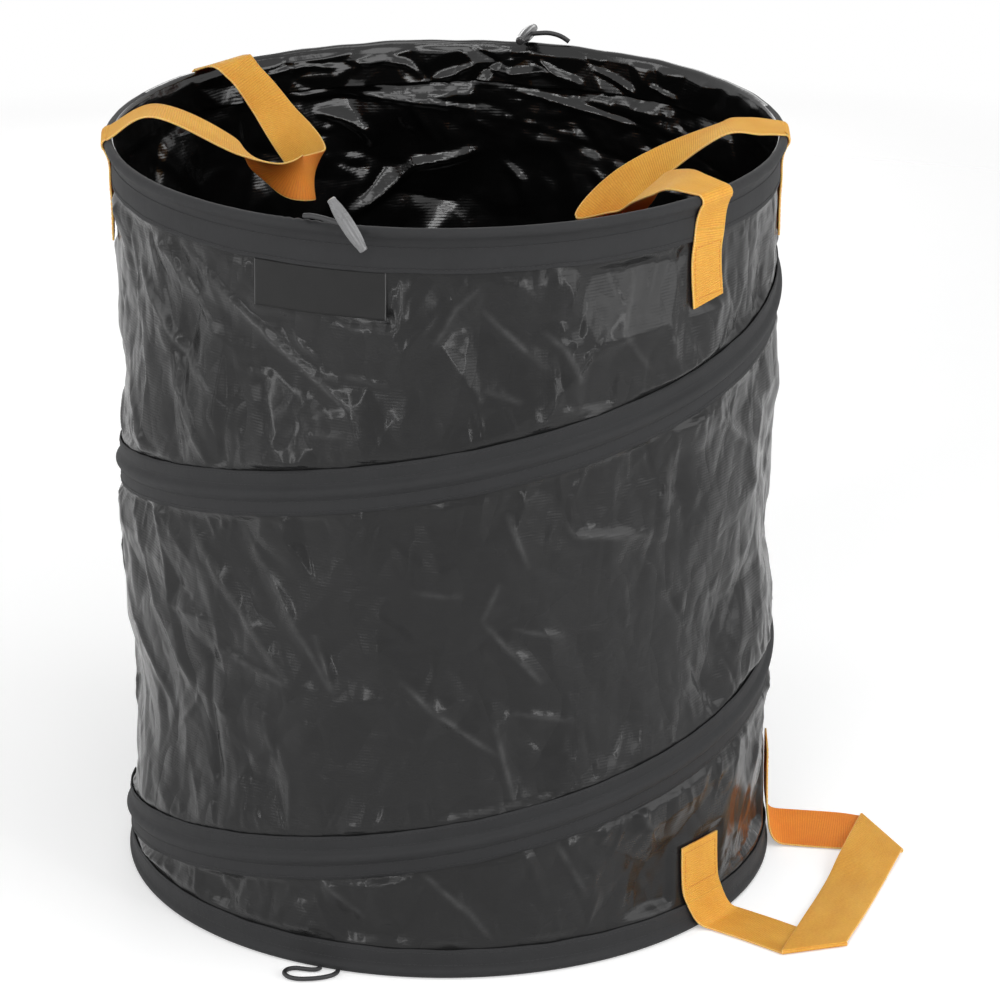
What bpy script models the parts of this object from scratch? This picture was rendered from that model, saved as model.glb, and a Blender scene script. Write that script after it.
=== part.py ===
"""Pop-up garden waste bag: a coated fabric drum that a spiral of spring wire holds open.

Metres, +Z up. The origin is the centre of the base, on the ground. The front, with the label patch,
faces -Y, and the two carrying handles are at +X and -X. Azimuths are in degrees from +X towards +Y.
"""
import math

import bmesh
import bpy
from mathutils import Vector

HEIGHT = 0.672
WALL_RADIUS = 0.287
WALL_THICKNESS = 0.0012
WALL_HEIGHTS = (0.0082, 0.6640)
SIDES = 48
STEP = 360 / SIDES
GAP = 0.0003

# The bindings at the rim and the base: folded tape round a channel that holds a hoop of spring wire.
TAPE_THICKNESS = 0.0012
CHANNEL_OUTER = 0.0047
CHANNEL_INNER = 0.0032
WIRE_RADIUS = 0.0018
FERRULE_RADII = (0.0021, 0.0028)
FERRULE_LENGTH = 0.024
RIM_RING = (0.2898, HEIGHT - CHANNEL_OUTER)
RIM_SEAM = 0.633
RIM_INNER_SEAM = 0.638
RIM_FERRULE_AT = 138.75
BASE_RING = (0.2863, CHANNEL_OUTER)
BASE_SEAM = 0.027
BASE_HEM_RADIUS = 0.270
BASE_PANEL_RADIUS = 0.2822
BASE_PANEL_THICKNESS = 0.0015
BASE_FERRULE_AT = 176.25

# The sleeve tape that winds up round the wall, and the spring wire inside it.
SPIRAL_WIDTH = 0.040
SPIRAL_RISE_PER_TURN = 0.333
SPIRAL_START = -517.5
SPIRAL_END = 105.0
SPIRAL_PASSES = (-68.6, 0.4585)
SPIRAL_WIRE_OUT = 0.0021
SPIRAL_WIRE_RUNS_ON = 7.5

LABEL_AZIMUTHS = (-102.6, -79.4)
LABEL_HEIGHTS = (0.593, 0.6326)
LABEL_THICKNESS = 0.0008

STRAP_THICKNESS = 0.0018
STRAP_STEP = 0.0095
HINGE_GAP = 0.0003

# The carrying handles. Ends are the azimuths of the two sewn ends. The hinge is how far out and how
# high the loop turns on the rim. Each station of a loop, from its first end to its second, is x, y, z
# in millimetres and the degrees that the loop's outer edge turns up from level.
RIM_STRAP_WIDTH = 0.040
RIM_TAIL_BOTTOM = 0.581
CARRYING_HANDLES = {
    "right": {
        "ends": (-20.5, 18.5),
        "faces": -1.0,
        "hinge": (0.258, 0.6740),
        "stations": [
            (247, -94, 675, -8), (226, -75, 667, -26), (197, -42, 649, -33), (173, -9, 621, -5),
            (126, 20, 586, 50), (156, 41, 627, 40), (229, 58, 676, 0), (255, 76, 677, 6),
        ],
    },
    "left": {
        "ends": (157.0, 203.5),
        "faces": 180.0,
        "hinge": (0.251, 0.6820),
        "stations": [
            (-237, 89, 686, 6), (-222, 87, 675, 12), (-193, 83, 644, 7), (-139, 32, 617, 50),
            (-116, -33, 624, 108), (-138, -66, 640, 28), (-161, -85, 663, -4), (-224, -110, 695, 0),
        ],
    },
}

# The handle at the foot. A tail's stations are azimuth, distance out, height and the rise of the
# strap's first edge. A flat station is x, y, height, the azimuth of the first edge, and its rise. A
# fold is the strap's first and second edge on the fold line, in the lower of its two layers.
BASE_STRAP_WIDTH = 0.050
FRONT_TAIL = [
    (-20.6, 0.2884, 0.083, 0), (-20.5, 0.2884, 0.060, 0), (-20.2, 0.2889, 0.040, 0),
    (-19.2, 0.2901, 0.026, 0), (-18.0, 0.2911, 0.014, 0), (-17.3, 0.2931, 0.0075, 0),
    (-16.7, 0.2962, 0.0036, 0), (-16.2, 0.3010, 0.0020, 0),
]
BACK_TAIL = [
    (18.6, 0.2884, 0.098, 0), (18.8, 0.2884, 0.070, 0), (19.0, 0.2889, 0.044, 0), (19.2, 0.2901, 0.030, 0),
    (19.3, 0.2916, 0.020, 0.0015), (19.4, 0.2948, 0.0135, 0.0040), (19.4, 0.3000, 0.0100, 0.0060),
    (19.3, 0.3090, 0.0088, 0.0068),
]
FRONT_RUN = [(0.3200, -0.0930, 0.0015, -109.5, 0), (0.3440, -0.1015, 0.0014, -109.5, 0)]
ACROSS_RUN = [
    (0.3792, -0.0560, 0.0036, 181, 0), (0.3785, -0.0200, 0.0022, 181, 0),
    (0.3775, 0.0250, 0.0024, 181, 0.0003), (0.3770, 0.0600, 0.0060, 181, 0.0030),
]
BACK_RUN = [(0.3340, 0.1105, 0.0083, 101, 0.0068)]
FRONT_FOLD = ((0.3550, -0.1323, 0.0014), (0.4040, -0.0967, 0.0014))
BACK_FOLD = ((0.3510, 0.1390, 0.0130), (0.4015, 0.0980, 0.0024))
LAYER_STEP = 0.0026
BASE_HINGE = (0.300, 0.0045)

# A toggle's route of cord starts on the rim's crest and ends in the toggle's middle.
TOGGLE_LENGTH = 0.050
TOGGLE_RADIUS = 0.0075
TOGGLE_END_RADIUS = 0.0046
TOGGLE_BORE_RADIUS = 0.0026
CORD_RADIUS = 0.0022
TOGGLES = {
    "front": {
        "lies_along": (-0.0125, -0.0020, 0.0200),
        "route": [
            (-0.0150, -0.2900, 0.6757), (-0.0085, -0.2912, 0.6767), (0.0000, -0.2947, 0.6775),
            (0.0095, -0.2985, 0.6776), (0.0168, -0.3012, 0.6773), (0.0285, -0.3045, 0.6770),
        ],
    },
    "back": {
        "lies_along": (-0.07, 1.0, 0.0),
        "route": [
            (0.0135, 0.2900, 0.6757), (0.0085, 0.2890, 0.6792), (0.0030, 0.2875, 0.6818),
            (-0.0045, 0.2855, 0.6834), (-0.0120, 0.2836, 0.6832), (-0.0245, 0.2810, 0.6815),
        ],
    },
}

# A cord loop on the ground at the foot: distance along the rim, then distance out from the axis.
LOOP_RADIUS = 0.0020
LOOP_HEIGHT = 0.0024
LOOP_ROUTE = [
    (0.0065, 0.2930), (0.0068, 0.2972), (0.0045, 0.3035), (-0.0020, 0.3100), (-0.0110, 0.3155),
    (-0.0205, 0.3188), (-0.0290, 0.3180), (-0.0352, 0.3125), (-0.0352, 0.3055), (-0.0300, 0.3008),
    (-0.0225, 0.2998), (-0.0155, 0.2988), (-0.0112, 0.2966), (-0.0098, 0.2930),
]


def new_collection(name):
    made = bpy.data.collections.new(name)
    bpy.context.scene.collection.children.link(made)
    return made


for old in list(bpy.data.objects):
    bpy.data.objects.remove(old)
BAG = new_collection("garden_waste_bag")
CUTTERS = new_collection("cutters")


def material(name, colour, roughness, metallic=0.0):
    made = bpy.data.materials.new(name)
    made.use_nodes = True
    shader = made.node_tree.nodes["Principled BSDF"]
    shader.inputs["Base Color"].default_value = (*colour, 1.0)
    shader.inputs["Roughness"].default_value = roughness
    shader.inputs["Metallic"].default_value = metallic
    return made


FABRIC = material("coated_fabric", (0.030, 0.030, 0.031), 0.32)
TAPE = material("binding_tape", (0.034, 0.035, 0.040), 0.80)
WEBBING = material("orange_webbing", (0.80, 0.36, 0.04), 0.75)
STEEL = material("spring_steel", (0.45, 0.45, 0.46), 0.35, 1.0)
PATCH = material("label_patch", (0.018, 0.018, 0.018), 0.60)
CORD = material("black_cord", (0.020, 0.020, 0.022), 0.80)
PLASTIC = material("toggle_plastic", (0.16, 0.16, 0.17), 0.35)


def add(name, data, look, origin=(0, 0, 0)):
    """An object in the bag's collection, from mesh or curve data measured from its origin."""
    data.materials.append(look)
    made = bpy.data.objects.new(name, data)
    made.location = origin
    BAG.objects.link(made)
    return made


def polar(azimuth, out, height):
    a = math.radians(azimuth)
    return Vector((out * math.cos(a), out * math.sin(a), height))


def level(azimuth):
    """The level direction towards an azimuth."""
    return polar(azimuth, 1, 0)


def arc(centre, radius, start, end, count):
    """Points of an arc in the section plane, whose angles start from the outward direction."""
    turns = [math.radians(start + (end - start) * k / (count - 1)) for k in range(count)]
    return [(centre[0] + radius * math.cos(t), centre[1] + radius * math.sin(t)) for t in turns]


def angle_on(centre, radius, out):
    """The angle above level at which a circle of the section plane reaches a distance out."""
    return math.degrees(math.acos((out - centre[0]) / radius))


def turned(name, outline, look, sides=SIDES, closed=True):
    """An outline of (distance out, height), top to bottom on its outer side, turned round Z."""
    bm = bmesh.new()
    verts = [bm.verts.new((out, 0, height)) for out, height in outline]
    for a, b in zip(verts, verts[1:]):
        bm.edges.new((a, b))
    if closed:
        bm.edges.new((verts[-1], verts[0]))
    data = bpy.data.meshes.new(name)
    bm.to_mesh(data)
    bm.free()
    made = add(name, data, look)
    screw = made.modifiers.new("turn", "SCREW")
    screw.steps = sides
    screw.render_steps = sides
    screw.use_merge_vertices = True
    screw.merge_threshold = 0.00005
    screw.use_smooth_shade = True
    return made


def mesh_from(bm, name, origin):
    """Mesh data with its faces out, measured from its object's origin."""
    bmesh.ops.translate(bm, vec=-Vector(origin), verts=bm.verts)
    bmesh.ops.recalc_face_normals(bm, faces=bm.faces)
    data = bpy.data.meshes.new(name)
    bm.to_mesh(data)
    bm.free()
    data.shade_smooth()
    data.set_sharp_from_angle(angle=math.radians(35))
    return data


def lofted(rings):
    """A solid through sections of the same number of points, with a face at each end."""
    bm = bmesh.new()
    rows = [[bm.verts.new(point) for point in ring] for ring in rings]
    for a, b in zip(rows, rows[1:]):
        for k in range(len(a)):
            n = (k + 1) % len(a)
            bm.faces.new((a[k], a[n], b[n], b[k]))
    bm.faces.new(rows[0][::-1])
    bm.faces.new(rows[-1])
    return bm


def tube(name, points, radius, look, origin=(0, 0, 0)):
    curve = bpy.data.curves.new(name, "CURVE")
    curve.dimensions = "3D"
    curve.bevel_depth = radius
    curve.bevel_resolution = 2
    curve.use_fill_caps = True
    line = curve.splines.new("POLY")
    line.points.add(len(points) - 1)
    for target, point in zip(line.points, points):
        target.co = (*(Vector(point) - Vector(origin)), 1)
    return add(name, curve, look, origin)


def smooth_route(points, step):
    """Points about a step apart on a smooth curve through the given ones, with what they carry."""
    knots = [0.0]
    for a, b in zip(points, points[1:]):
        knots.append(knots[-1] + math.sqrt(math.dist(a[:3], b[:3])))
    slopes = []
    for k in range(len(points)):
        low, high = max(k - 1, 0), min(k + 1, len(points) - 1)
        span = knots[high] - knots[low]
        slopes.append([(q - p) / span for p, q in zip(points[low], points[high])])
    route = []
    for k, (a, b) in enumerate(zip(points, points[1:])):
        span = knots[k + 1] - knots[k]
        pieces = max(1, round(math.dist(a[:3], b[:3]) / step))
        for t in (j / pieces for j in range(pieces)):
            far = 3 * t**2 - 2 * t**3
            leave = (t**3 - 2 * t**2 + t) * span
            arrive = (t**3 - t**2) * span
            ends = zip(a, b, slopes[k], slopes[k + 1])
            route.append([(1 - far) * p + far * q + leave * s + arrive * e for p, q, s, e in ends])
    route.append(list(points[-1]))
    return route


def rim_binding():
    """An outer leg up the wall, the channel round the ring, and an inner leg."""
    outer_face = WALL_RADIUS + GAP
    outer_leg = outer_face + TAPE_THICKNESS
    inner_face = WALL_RADIUS - WALL_THICKNESS - GAP
    inner_leg = inner_face - TAPE_THICKNESS
    join = angle_on(RIM_RING, CHANNEL_OUTER, outer_leg)
    slot = angle_on(RIM_RING, CHANNEL_INNER, outer_face)
    outline = (
        [(outer_leg, RIM_SEAM)]
        + arc(RIM_RING, CHANNEL_OUTER, -join, 90, 6)
        + arc(RIM_RING, CHANNEL_OUTER, 120, 150, 2)
        + [(inner_leg, RIM_RING[1]), (inner_leg, RIM_INNER_SEAM), (inner_face, RIM_INNER_SEAM)]
        + [(inner_face, WALL_HEIGHTS[1] + TAPE_THICKNESS)]
        + arc(RIM_RING, CHANNEL_INNER, 180, -slot, 9)
        + [(outer_face, RIM_SEAM)]
    )
    turned("rim_binding", outline[::-1], TAPE)


def base_binding():
    """A leg up the wall, the channel round the ring, and a hem over the base panel's edge."""
    outer_face = WALL_RADIUS + GAP
    outer_leg = outer_face + TAPE_THICKNESS
    inner_face = WALL_RADIUS - WALL_THICKNESS - GAP
    hem_low = BASE_PANEL_THICKNESS + GAP
    hem_high = hem_low + TAPE_THICKNESS
    join = angle_on(BASE_RING, CHANNEL_OUTER, outer_leg)
    crown = angle_on(BASE_RING, CHANNEL_OUTER, inner_face)
    slot_outer = angle_on(BASE_RING, CHANNEL_INNER, outer_face)
    slot_inner = angle_on(BASE_RING, CHANNEL_INNER, inner_face)
    hem_top = 180 + math.degrees(math.asin((BASE_RING[1] - hem_high) / CHANNEL_OUTER))
    hem_bottom = 180 + math.degrees(math.asin((BASE_RING[1] - hem_low) / CHANNEL_OUTER))
    outline = (
        [(outer_leg, BASE_SEAM), (outer_face, BASE_SEAM)]
        + arc(BASE_RING, CHANNEL_INNER, slot_outer, slot_inner - 360, 9)
        + arc(BASE_RING, CHANNEL_OUTER, crown, hem_top, 4)
        + [(BASE_HEM_RADIUS, hem_high), (BASE_HEM_RADIUS, hem_low)]
        + arc(BASE_RING, CHANNEL_OUTER, hem_bottom, 270, 3)
        + arc(BASE_RING, CHANNEL_OUTER, 300, 360 + join, 5)
    )
    turned("base_binding", outline[::-1], TAPE)


def ring_wire(name, ring, joint_at):
    """A hoop of spring wire whose two ends butt in the middle of one flat, inside a crimped sleeve."""
    corners = [polar(joint_at + STEP * (k + 0.5), *ring) for k in range(SIDES)]
    middle = (corners[0] + corners[-1]) / 2
    apart = (corners[0] - middle).normalized() * GAP
    tube(f"{name}_ring_wire", [middle + apart, *corners, middle - apart], WIRE_RADIUS, STEEL)

    low, high = FERRULE_RADII
    half = FERRULE_LENGTH / 2
    ferrule = turned(f"{name}_ring_ferrule", [(high, half), (high, -half), (low, -half), (low, half)], STEEL, 12)
    ferrule.location = middle
    ferrule.rotation_euler = (math.radians(90), 0, math.radians(joint_at))


def spiral_height(azimuth):
    at, height = SPIRAL_PASSES
    return height + SPIRAL_RISE_PER_TURN * (azimuth - at) / 360


def spiral_tape():
    """The sleeve round the wall: sewn flat along both edges, and raised over the spring wire."""
    half = SPIRAL_WIDTH / 2
    under = [(-half, 0), (-0.0060, 0), (-0.0022, 0.0036), (0, 0.0043), (0.0022, 0.0036), (0.0060, 0), (half, 0)]
    over = [(half, 0.0009), (0.0066, 0.0009), (0.0027, 0.0045), (0, 0.0053),
            (-0.0027, 0.0045), (-0.0066, 0.0009), (-half, 0.0009)]
    rings = []
    for k in range(round((SPIRAL_END - SPIRAL_START) / STEP) + 1):
        azimuth = SPIRAL_START + k * STEP
        middle = spiral_height(azimuth)
        lowest, highest = BASE_SEAM + GAP, RIM_SEAM - GAP
        rings.append([
            polar(azimuth, WALL_RADIUS + GAP + out, min(max(middle + up, lowest), highest))
            for up, out in under + over
        ])
    add("spiral_tape", mesh_from(lofted(rings), "spiral_tape", (0, 0, 0)), TAPE)


def spiral_wire():
    start, end = SPIRAL_START - SPIRAL_WIRE_RUNS_ON, SPIRAL_END + SPIRAL_WIRE_RUNS_ON
    azimuths = [start + k * STEP for k in range(round((end - start) / STEP) + 1)]
    points = [polar(a, WALL_RADIUS + GAP + SPIRAL_WIRE_OUT, spiral_height(a)) for a in azimuths]
    tube("spiral_wire", points, WIRE_RADIUS, STEEL)


def label_patch():
    """A plain patch that follows the wall's flats, with its top edge at the rim's seam."""
    first, last = LABEL_AZIMUTHS
    corners = [STEP * k for k in range(-SIDES, SIDES) if first < STEP * k < last]
    low, high = LABEL_HEIGHTS
    rings = []
    for azimuth in [first, *corners, last]:
        from_middle = math.radians(azimuth % STEP - STEP / 2)
        inner = (WALL_RADIUS + GAP) * math.cos(math.radians(STEP / 2)) / math.cos(from_middle)
        outer = inner + LABEL_THICKNESS
        rings.append([polar(azimuth, *point) for point in ((inner, low), (outer, low), (outer, high), (inner, high))])
    add("label_patch", mesh_from(lofted(rings), "label_patch", (0, 0, 0)), PATCH)


def strap(line):
    """A strap through stations: its middle, and half its width towards its first edge."""
    rings = []
    for k, (middle, half) in enumerate(line):
        run = line[min(k + 1, len(line) - 1)][0] - line[max(k - 1, 0)][0]
        thick = run.cross(half).normalized() * STRAP_THICKNESS / 2
        rings.append([middle + half + thick, middle - half + thick, middle - half - thick, middle + half - thick])
    return lofted(rings)


def kept_side(bm, point, towards):
    """A copy of a closed mesh, cut by a plane and closed again. It keeps what lies towards a side."""
    part = bm.copy()
    geometry = part.verts[:] + part.edges[:] + part.faces[:]
    cut = bmesh.ops.bisect_plane(
        part, geom=geometry, dist=1e-6, plane_co=point, plane_no=towards, clear_inner=True)
    edges = [item for item in cut["geom_cut"] if isinstance(item, bmesh.types.BMEdge)]
    bmesh.ops.contextual_create(part, geom=edges)
    return part


def handle_pieces(name, whole, hinge, free_side):
    """Cuts a handle's strap at its hinge, into its two sewn ends and the loop that moves."""
    gap = free_side * HINGE_GAP / 2
    sewn = kept_side(whole, hinge - gap, -free_side)
    for end, side in (("front_end", -1), ("back_end", 1)):
        part = kept_side(sewn, hinge, Vector((0, side, 0)))
        add(f"{name}_{end}", mesh_from(part, name, (0, 0, 0)), WEBBING)
    loop = kept_side(whole, hinge + gap, free_side)
    add(f"{name}_loop", mesh_from(loop, name, hinge), WEBBING, hinge)
    sewn.free()
    whole.free()


def rim_tail(azimuth, first_edge):
    """A sewn end, from its foot up the wall and over the binding to the rim's crest."""
    on_wall = WALL_RADIUS + GAP + STRAP_THICKNESS / 2
    on_leg = on_wall + TAPE_THICKNESS
    section = [(on_wall, RIM_TAIL_BOTTOM), (on_wall, 0.600), (on_wall + GAP, 0.618), (on_leg, RIM_SEAM),
               (on_leg, 0.647), (on_leg + 0.0012, 0.6555)]
    section += arc(RIM_RING, CHANNEL_OUTER + GAP + STRAP_THICKNESS / 2, -50, 90, 6)
    return [(*polar(azimuth, *point), *level(first_edge)) for point in section]


def carrying_handle(name, handle):
    """Two sewn ends and the loop between them. The first edge is the one outside the loop."""
    first, last = handle["ends"]
    start, end = rim_tail(first, first - 90), rim_tail(last, last + 90)
    placed = [(Vector(s[:3]) / 1000, math.radians(s[3])) for s in handle["stations"]]
    places = [Vector(start[-1][:3]), *(place for place, turn in placed), Vector(end[-1][:3])]
    loop = []
    for k, (place, turn) in enumerate(placed, start=1):
        run = (places[k + 1] - places[k - 1]).normalized()
        side = Vector((0, 0, 1)).cross(run).normalized()
        loop.append((*place, *(side * math.cos(turn) + run.cross(side) * math.sin(turn))))

    route = smooth_route(start + loop + end[::-1], STRAP_STEP)
    line = []
    for k, station in enumerate(route):
        run = Vector(route[min(k + 1, len(route) - 1)][:3]) - Vector(route[max(k - 1, 0)][:3])
        run.normalize()
        edge = Vector(station[3:])
        edge = (edge - run * edge.dot(run)).normalized()
        line.append((Vector(station[:3]), edge * RIM_STRAP_WIDTH / 2))
    inward = -level(handle["faces"])
    out, height = handle["hinge"]
    hinge = Vector((0, 0, height)) - inward * out
    handle_pieces(f"{name}_handle", strap(line), hinge, inward)


def towards_edge(azimuth, rise):
    """Half the foot strap's width, in the direction of an edge that stands a rise above its middle."""
    half = BASE_STRAP_WIDTH / 2
    return level(azimuth) * math.sqrt(half**2 - rise**2) + Vector((0, 0, rise))


def flat_fold(edges, from_low):
    """The stations round a flat fold, where the strap turns over on a line on the ground."""
    first, second = (Vector(edge) for edge in edges)
    half = (first - second) / 2
    middle = (first + second) / 2 + Vector((0, 0, LAYER_STEP / 2))
    away = Vector((half.y, -half.x, 0)).normalized()
    if away.dot(middle) < 0:
        away = -away
    stations = []
    for k in range(5):
        turn = math.radians(45 * k - 90)
        around = away * math.cos(turn) + Vector((0, 0, math.sin(turn)))
        stations.append((middle + around * LAYER_STEP / 2, half))
    return stations if from_low else stations[::-1]


def base_handle():
    """The handle for tipping the bag out: from the wall, flat round two folds, and back to the wall."""
    def flat(run):
        return [(Vector(s[:3]), towards_edge(*s[3:])) for s in run]

    down = [(polar(*s[:3]), towards_edge(s[0] - 90, s[3])) for s in FRONT_TAIL]
    up = [(polar(*s[:3]), towards_edge(s[0] + 90, s[3])) for s in BACK_TAIL]
    line = (
        down + flat(FRONT_RUN) + flat_fold(FRONT_FOLD, True) + flat(ACROSS_RUN)
        + flat_fold(BACK_FOLD, False) + flat(BACK_RUN) + up[::-1]
    )
    hinge = Vector((BASE_HINGE[0], 0, BASE_HINGE[1]))
    handle_pieces("base_handle", strap(line), hinge, Vector((1, 0, 0)))


def toggle(name, spec):
    """A turned toggle with a cross bore, on a cord that starts at the rim and ends inside the bore."""
    route = [Vector(point) for point in spec["route"]]
    half = TOGGLE_LENGTH / 2
    side = [(0, half), (TOGGLE_END_RADIUS, half), (0.0066, half - 0.0030), (TOGGLE_RADIUS, half - 0.0090)]
    outline = side + [(out, -height) for out, height in side[::-1]]
    made = turned(f"{name}_toggle", outline, PLASTIC, 16, closed=False)
    made.location = route[-1]
    made.rotation_euler = Vector(spec["lies_along"]).to_track_quat("Z", "Y").to_euler()

    bm = bmesh.new()
    bmesh.ops.create_cone(bm, cap_ends=True, segments=12, radius1=TOGGLE_BORE_RADIUS,
                          radius2=TOGGLE_BORE_RADIUS, depth=4 * TOGGLE_RADIUS)
    data = bpy.data.meshes.new(f"{name}_bore")
    bm.to_mesh(data)
    bm.free()
    bore = bpy.data.objects.new(f"{name}_bore", data)
    bore.location = route[-1]
    bore.rotation_euler = (route[-1] - route[-2]).to_track_quat("Z", "Y").to_euler()
    bore.hide_render = True
    bore.display_type = "WIRE"
    CUTTERS.objects.link(bore)
    cut = made.modifiers.new("bore", "BOOLEAN")
    cut.operation = "DIFFERENCE"
    cut.object = bore
    tube(f"{name}_cord", smooth_route(route, 0.004), CORD_RADIUS, CORD, route[0])


def base_loop(name, turn):
    """A cord loop that lies on the ground, with both ends under the base binding."""
    facing = level(turn)
    along = level(turn + 90)
    route = [along * x + facing * out + Vector((0, 0, LOOP_HEIGHT)) for x, out in LOOP_ROUTE]
    root = facing * LOOP_ROUTE[0][1] + Vector((0, 0, LOOP_HEIGHT))
    tube(f"{name}_base_loop", smooth_route(route, 0.0045), LOOP_RADIUS, CORD, root)


def build():
    rim_binding()
    base_binding()
    turned("wall_panel", [
        (WALL_RADIUS, WALL_HEIGHTS[1]), (WALL_RADIUS, WALL_HEIGHTS[0]),
        (WALL_RADIUS - WALL_THICKNESS, WALL_HEIGHTS[0]), (WALL_RADIUS - WALL_THICKNESS, WALL_HEIGHTS[1]),
    ], FABRIC)
    turned("base_panel", [
        (0, BASE_PANEL_THICKNESS), (BASE_PANEL_RADIUS, BASE_PANEL_THICKNESS), (BASE_PANEL_RADIUS, 0), (0, 0),
    ], FABRIC, closed=False)
    ring_wire("rim", RIM_RING, RIM_FERRULE_AT)
    ring_wire("base", BASE_RING, BASE_FERRULE_AT)
    spiral_tape()
    spiral_wire()
    label_patch()
    for name, handle in CARRYING_HANDLES.items():
        carrying_handle(name, handle)
    base_handle()
    for name, spec in TOGGLES.items():
        toggle(name, spec)
    base_loop("front", -90)
    base_loop("back", 90)


build()
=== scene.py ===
"""The looks of the pop-up garden waste bag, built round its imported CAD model.

Metres, +Z up, in the frame of the CAD. The front, with the label patch, faces -Y. Azimuths are in
degrees from +X towards +Y. UVs are real distances in metres on every piece, so that a weave or a
rib has its real size.
"""
import math

import bmesh
import bpy
import numpy as np
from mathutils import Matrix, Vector
from mathutils.geometry import delaunay_2d_cdt


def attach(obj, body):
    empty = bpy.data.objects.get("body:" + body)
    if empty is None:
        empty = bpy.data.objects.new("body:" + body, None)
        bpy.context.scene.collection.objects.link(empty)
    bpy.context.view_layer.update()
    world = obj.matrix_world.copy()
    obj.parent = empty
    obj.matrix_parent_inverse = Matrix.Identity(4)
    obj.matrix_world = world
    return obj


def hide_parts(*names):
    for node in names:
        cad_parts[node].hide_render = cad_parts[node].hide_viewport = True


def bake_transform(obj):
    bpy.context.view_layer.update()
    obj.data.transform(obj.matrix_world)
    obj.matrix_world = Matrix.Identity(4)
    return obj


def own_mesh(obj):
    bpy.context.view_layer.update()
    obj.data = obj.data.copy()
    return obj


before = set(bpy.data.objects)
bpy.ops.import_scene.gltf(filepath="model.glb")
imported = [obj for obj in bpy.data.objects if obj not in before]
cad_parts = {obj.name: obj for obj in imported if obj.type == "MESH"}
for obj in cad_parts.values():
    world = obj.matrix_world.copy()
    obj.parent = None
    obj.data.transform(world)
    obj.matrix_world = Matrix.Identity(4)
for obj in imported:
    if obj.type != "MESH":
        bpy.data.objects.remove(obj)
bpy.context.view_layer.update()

MM = 0.001
# The room between layers that are sewn together.
GAP = 0.0003

FLOOR_REACH = 2.6
FLOOR_FADES_FROM = 1.3
FLOOR_GAP = 0.0004

# The photograph's camera.
CAMERA_AT = (1.29949, -3.50643, 1.75629)
CAMERA_LOOKS = (-0.31366, 0.87994, -0.35681)
CAMERA_LENS = 162
CAMERA_SENSOR = 36

# The wall, and what is sewn to it, as in the CAD. The wall has finer columns between the FRONT azimuths.
WALL_RADIUS = 0.287
WALL_FOOT = 0.0082
WALL_TOP = 0.6640
CAD_WALL_DEPTH = 0.0012
CLOTH_THICKNESS = 0.0007
FRONT = (-163.0, 23.0)
FRONT_COLUMNS = 500
BACK_COLUMNS = 260
ROWS = 300
TAPE_THICKNESS = 0.0012
OUTER_FACE = WALL_RADIUS + GAP
OUTER_LEG = OUTER_FACE + TAPE_THICKNESS
INNER_FACE = WALL_RADIUS - CAD_WALL_DEPTH - GAP
RIM_RING = (0.2898, 0.6673)
RIM_COLUMNS = 960
RIM_SEAM = 0.633
BASE_RING = (0.2863, 0.0047)
BASE_SEAM = 0.027
BASE_HEM_RADIUS = 0.270
CHANNEL_OUTER = 0.0047
CHANNEL_INNER = 0.0036
BASE_PANEL_RADIUS = 0.2822

# The spiral tape's middle passes the azimuth and height SPIRAL_PASSES.
SPIRAL_WIDTH = 0.040
SPIRAL_RISE_PER_TURN = 0.333
SPIRAL_START = -517.5
SPIRAL_END = 105.0
SPIRAL_PASSES = (-68.6, 0.4585)
SPIRAL_WIRE_RUNS_ON = 7.5
SPIRAL_TAPE_RUNS_ON = 8.6
SPIRAL_WIRE_OUT = 0.0021
WIRE_RADIUS = 0.0018

LABEL_AZIMUTHS = (-102.6, -79.4)
LABEL_HEIGHTS = (0.593, 0.6326)
LABEL_EDGE = 0.17
LABEL_COLUMNS = 47

STRAP_THICKNESS = 0.0018
RIM_STRAP_WIDTH = 0.040
RIM_TAIL_BOTTOM = 0.581
RIM_TAIL_SPLIT = 0.6400
CARRYING_HANDLES = {
    "right": {
        "ends": (-20.5, 18.5),
        "bottoms": (0.5765, RIM_TAIL_BOTTOM),
        "sways": (-0.9, 0.5),
        "faces": -1.0,
        "hinge": (0.258, 0.6740),
        "stations": [
            (247, -94, 675, -8), (226, -75, 667, -26), (197, -42, 649, -33), (173, -9, 621, -5),
            (126, 20, 586, 50), (156, 41, 627, 40), (229, 58, 676, 0), (255, 76, 677, 6),
        ],
    },
    "left": {
        "ends": (157.0, 203.5),
        "bottoms": (RIM_TAIL_BOTTOM, RIM_TAIL_BOTTOM),
        "sways": (0.4, -0.4),
        "faces": 180.0,
        "hinge": (0.251, 0.6820),
        "stations": [
            (-237, 89, 686, 6), (-222, 87, 675, 12), (-193, 83, 644, 7), (-139, 32, 617, 50),
            (-116, -33, 624, 108), (-138, -66, 640, 28), (-161, -85, 663, -4), (-224, -110, 695, 0),
        ],
    },
}

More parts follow.
